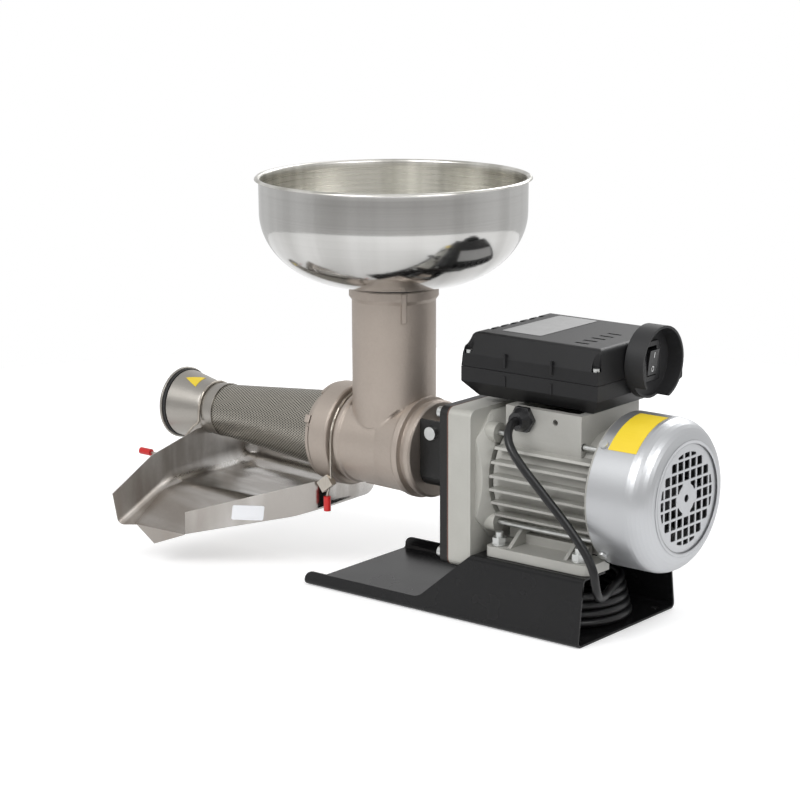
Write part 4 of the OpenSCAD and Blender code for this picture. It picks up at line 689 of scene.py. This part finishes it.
# Drip tray: bright stainless sheet, pressed and folded so that juice runs to the chute at the
# near corner. Its bends are wide and smooth, so the sheet shows long soft reflections. Its
# corners are in millimetres, and a 2 marks the wall's top over a corner.
TRAY_REAR, TRAY_END = -60, -243
CHUTE_LEAN = 12 / 56
TRAY = {
    "A": (TRAY_REAR, -46, 64), "A2": (TRAY_REAR, -46, 97),
    "B": (TRAY_END, -78, 72), "B2": (TRAY_END, -78, 108.5),
    "C": (TRAY_REAR, 50, 65), "C2": (TRAY_REAR, 50, 97),
    "E": (-177, -117, 36.5), "E2": (-177, -117, 60),
    "H": (TRAY_END - 62 * CHUTE_LEAN, -140, 71), "I": (TRAY_END - 14 * CHUTE_LEAN, -92, 104),
    "D2": (TRAY_END, 50, 91), "K": (TRAY_END, 27, 120), "L": (TRAY_END, -27, 120),
    "W": (-215, -123, 22)}
CUP_SEAT_R, BODY_SEAT_R = 27.5, 51.9
WIDEST_BEND = 0.022
SHEET_T = 0.001


def level(x, y, a, b, c):
    """The point above x, y on the plane through three points of the tray."""
    a, b, c = (Vector(TRAY[k]) for k in (a, b, c))
    n = (b - a).cross(c - a)
    return (x, y, a.z - (n.x * (x - a.x) + n.y * (y - a.y)) / n.z)


TRAY["D"] = level(TRAY_END, 50, "A", "B", "C")
TRAY["F"] = level(-236, -127, "A", "B", "E")
TRAY["G"] = level(-255, -134, "A", "B", "E")


def seat(x, r, turns):
    """The points where an end of the tray meets a round neck, at turns in degrees."""
    return [(x, r * math.cos(a), SCREW_Z + r * math.sin(a)) for a in map(math.radians, turns)]


seat_arc = seat(TRAY_END, CUP_SEAT_R, range(-41, -140, -7))
rear_arc = seat(TRAY_REAR, BODY_SEAT_R, range(-128, -51, 7))
made = bmesh.new()
at = {k: made.verts.new(Vector(v) / 1000) for k, v in TRAY.items()}
seat_verts = [made.verts.new(Vector(v) / 1000) for v in seat_arc]
rear_verts = [made.verts.new(Vector(v) / 1000) for v in rear_arc]
for outline in ("ABDC", "AEFGB", "AA2E2E", "CDD2C2", "BB2IHG", "EWF"):
    keys = []
    for letter in outline:
        if letter == "2":
            keys[-1] += "2"
        else:
            keys.append(letter)
    made.faces.new([at[k] for k in keys][::-1])
made.faces.new([at["B"], at["D"], at["D2"], at["K"], *seat_verts, at["L"], at["B2"]])
made.faces.new([at["C"], at["A"], at["A2"], *rear_verts, at["C2"]])
bmesh.ops.recalc_face_normals(made, faces=made.faces)
weights = made.edges.layers.float.new("bevel_weight_edge")
for one, two, width in (
        ("A", "B", 0.75), ("A", "E", 0.08), ("B", "D", 0.7), ("C", "D", 0.9), ("D", "D2", 1.0),
        ("B", "B2", 0.28), ("B", "G", 0.25), ("A", "C", 0.4), ("A", "A2", 0.75),
        ("C", "C2", 0.6)):
    made.edges.get((at[one], at[two]))[weights] = width
tray_mesh = bpy.data.meshes.new("pressed_tray")
made.to_mesh(tray_mesh)
tray = bpy.data.objects.new("pressed_tray", tray_mesh)
bpy.context.scene.collection.objects.link(tray)
bends = tray.modifiers.new("bends", "BEVEL")
bends.limit_method = "WEIGHT"
bends.width = WIDEST_BEND
bends.segments = 6
bends.use_clamp_overlap = False
sheet = tray.modifiers.new("sheet", "SOLIDIFY")
sheet.thickness = SHEET_T
sheet.offset = 0
bpy.context.view_layer.update()
pressed = tray.evaluated_get(bpy.context.evaluated_depsgraph_get())
formed = bpy.data.meshes.new_from_object(pressed)
tray.modifiers.clear()
tray.data = formed
for face in formed.polygons:
    face.use_smooth = True
formed.set_sharp_from_angle(angle=math.radians(35))
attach(tray, "machine")
bright_sheet, place = finish("bright_stainless_sheet", Metallic=1.0)
roll = grain(place, 260, 3, (8, 1, 1))
wave = grain(place, 11, 2)
# Long light and dark bands in the sheet's colour are painted reflection streaks.
painted_reflection_streaks = grain(place, 16, 3, (0.5, 2.2, 0.4)).ease(0.36, 0.62)
# The sheet's colour turns darker and browner towards the chute's low corner.
from_chute = place.node("ShaderNodeVectorMath", {"operation": "DISTANCE"}, {
    0: place, 1: (-0.225, -0.115, 0.045)}, out=1)
darker_by_chute = from_chute.ease(0.03, 0.085, 0.55, 0.0)
scuffed = place.coordinate(0).ease(-0.243, -0.236, 0.26, 0.0)
tint = darker_by_chute.mix(painted_reflection_streaks.mix((0.5, 0.47, 0.44, 1), (0.72, 0.7, 0.675, 1)), (0.24, 0.2, 0.165, 1))
rolled = roll.mix((0.6, 0.6, 0.6, 1), (1, 1, 1, 1))
tint = tint.node("ShaderNodeMix", {"data_type": "RGBA", "blend_type": "MULTIPLY"}, {
    0: 0.5, 6: tint, 7: rolled}, out=2)
lay(bright_sheet, Base_Color=tint, Roughness=roll * 0.14 + 0.13 + scuffed,
    Normal=relief(place, wave + roll * 0.008, 0.004, 0.0004))
tray.data.materials.append(bright_sheet)
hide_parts("drip_tray")


def flat_label(name, middle, across_it, up_it, width, height, corner, body, depth=0.0002):
    """A thin blank sticker with rounded corners, flat on a surface."""
    out = across_it.cross(up_it).normalized()
    made = bmesh.new()
    rim = []
    for k, (sx, sy) in enumerate(((1, 1), (-1, 1), (-1, -1), (1, -1))):
        for i in range(5):
            a = math.radians(90 * k + 22.5 * i)
            rim.append((sx * (width / 2 - corner) + corner * math.cos(a),
                        sy * (height / 2 - corner) + corner * math.sin(a)))
    low, top = ([made.verts.new(middle + across_it * x + up_it * y + out * lift) for x, y in rim]
                for lift in (FILM_GAP, FILM_GAP + depth))
    made.faces.new(top)
    made.faces.new(low[::-1])
    for i in range(len(rim)):
        j = (i + 1) % len(rim)
        made.faces.new((low[i], low[j], top[j], top[i]))
    return shaped(made, name, body)


paper_white, place = finish("white_label_paper", Roughness=0.45)
lay(paper_white, Base_Color=grain(place, 50).mix((0.74, 0.75, 0.78, 1), (0.8, 0.81, 0.83, 1)),
    Normal=relief(place, grain(place, 300), 0.00002, 0.0001))
along_wall = Vector((-117, -71, 0)).normalized()
wall_out = Vector((71, -117, 0)).normalized()
on_wall = Vector((-0.06, -0.046, 0.0617)) + along_wall * 0.0722 + wall_out * 0.0006
wall_up = (Vector((0, 0, 1)) + along_wall * -0.12).normalized()
tray_label = flat_label("blank_tray_label", on_wall, -along_wall, wall_up, 0.0325, 0.0152,
                        0.0018, "machine")
tray_label.data.materials.append(paper_white)

# Clips: bent from spring wire, over the neck of the barrel and of the cup. They hold the
# filter, the cup and the tray, and their tails have red dipped caps.
wire, place = finish("spring_wire", Metallic=1.0)
draw = grain(place, 600, 2, (1, 1, 0.2))
lay(wire, Base_Color=draw.mix((0.42, 0.38, 0.33, 1), (0.6, 0.56, 0.5, 1)),
    Roughness=draw * 0.2 + 0.25, Normal=relief(place, draw, 0.00003, 0.0003))
dress(wire, "front_clip", "end_clip")
dipped, place = finish("red_dipped_plastic", Roughness=0.3)
lay(dipped, Base_Color=grain(place, 120).mix((0.5, 0.012, 0.012, 1), (0.62, 0.022, 0.02, 1)),
    Normal=relief(place, grain(place, 400), 0.0001, 0.0012))
dress(dipped, "clip_caps")

# Switch box: two halves with chamfered edges, moulded in grained black plastic and screwed
# together on the motor's pad, with the run capacitor and the terminal block inside.
box_plastic, place = finish("black_box_plastic", Specular_IOR_Level=0.3)
spark = grain(place, 1500, 3)
tone = grain(place, 20, 3)
lay(box_plastic, Base_Color=tone.mix((0.009, 0.009, 0.0095, 1), (0.015, 0.015, 0.016, 1)),
    Roughness=spark * 0.2 + 0.32, Normal=relief(place, spark, 0.00006, 0.0009))
dress(box_plastic, "switch_box_base", "switch_box_lid")
silver_film, place = finish("silver_label_film", Metallic=0.4)
lay(silver_film, Base_Color=grain(place, 60).mix((0.3, 0.3, 0.3, 1), (0.38, 0.38, 0.38, 1)),
    Roughness=grain(place, 200) * 0.2 + 0.35,
    Normal=relief(place, grain(place, 300), 0.00002, 0.0001))
box_label = flat_label("blank_box_label", Vector((0.1635, 0.0335, 0.268)), Vector((0, 1, 0)),
                       Vector((-1, 0, 0)), 0.094, 0.045, 0.002, "machine")
box_label.data.materials.append(silver_film)
glazed, place = finish("white_capacitor_can")
lay(glazed, Base_Color=grain(place, 60).mix((0.62, 0.62, 0.6, 1), (0.7, 0.7, 0.68, 1)),
    Roughness=grain(place, 90) * 0.2 + 0.25,
    Normal=relief(place, grain(place, 500), 0.00004, 0.001))
dress(glazed, "run_capacitor")
ivory, place = finish("ivory_terminal_plastic")
lay(ivory, Base_Color=grain(place, 60).mix((0.6, 0.56, 0.42, 1), (0.68, 0.64, 0.5, 1)),
    Roughness=grain(place, 90) * 0.2 + 0.4,
    Normal=relief(place, grain(place, 500), 0.00006, 0.0006))
dress(ivory, "terminal_block")

# Rocker switch: smooth glossy plastic with the two usual marks moulded in and filled white,
# snapped into a frame in the box. The cord's gland and its nut are of the same plastic.
RING_MARK_R, RING_MARK_HOLE_R, RING_MARK_STEPS = 0.0028, 0.0018, 32
RING_MARK_WIDTH = 0.72
MARK_T = 0.0001
smooth_black, place = finish("smooth_switch_plastic")
lay(smooth_black, Base_Color=grain(place, 80).mix((0.01, 0.01, 0.011, 1), (0.018, 0.018, 0.019, 1)),
    Roughness=grain(place, 300) * 0.15 + 0.16,
    Normal=relief(place, grain(place, 900), 0.00003, 0.0005))
dress(smooth_black, "switch_frame", "rocker", "cable_gland", "gland_nut")
mark_white, place = finish("white_mark_ink")
lay(mark_white, Base_Color=grain(place, 300).mix((0.66, 0.66, 0.66, 1), (0.74, 0.74, 0.74, 1)),
    Roughness=grain(place, 300) * 0.2 + 0.4,
    Normal=relief(place, grain(place, 900), 0.00002, 0.0001))
pivot = Vector((0.2727, 0.035, 0.248))
low_end = pivot + Vector((0.0046, 0, -0.0129))
middle = pivot + Vector((0.006, 0, 0))
high_end = pivot + Vector((0.008, 0, 0.0111))
side = Vector((0, 1, 0))
on_mark = flat_label("rocker_mark_on", middle.lerp(high_end, 0.55), side,
                     (high_end - middle).normalized(), 0.0011, 0.0055, 0.0004, "switch", MARK_T)
made = bmesh.new()
slope = (middle - low_end).normalized()
out = side.cross(slope).normalized()
ring_mid = low_end.lerp(middle, 0.45)
turns = [2 * math.pi * i / RING_MARK_STEPS for i in range(RING_MARK_STEPS)]
loops = [[made.verts.new(ring_mid + out * lift + side * (r * RING_MARK_WIDTH * math.cos(a))
                         + slope * (r * math.sin(a))) for a in turns]
         for lift, r in ((FILM_GAP, RING_MARK_R), (FILM_GAP + MARK_T, RING_MARK_R),
                         (FILM_GAP + MARK_T, RING_MARK_HOLE_R), (FILM_GAP, RING_MARK_HOLE_R))]
for one, two in zip(loops, loops[1:] + loops[:1]):
    for i in range(RING_MARK_STEPS):
        j = (i + 1) % RING_MARK_STEPS
        made.faces.new((one[i], one[j], two[j], two[i]))
off_mark = shaped(made, "rocker_mark_off", "switch")
for mark in (on_mark, off_mark):
    mark.data.materials.append(mark_white)

bpy.context.view_layer.update()
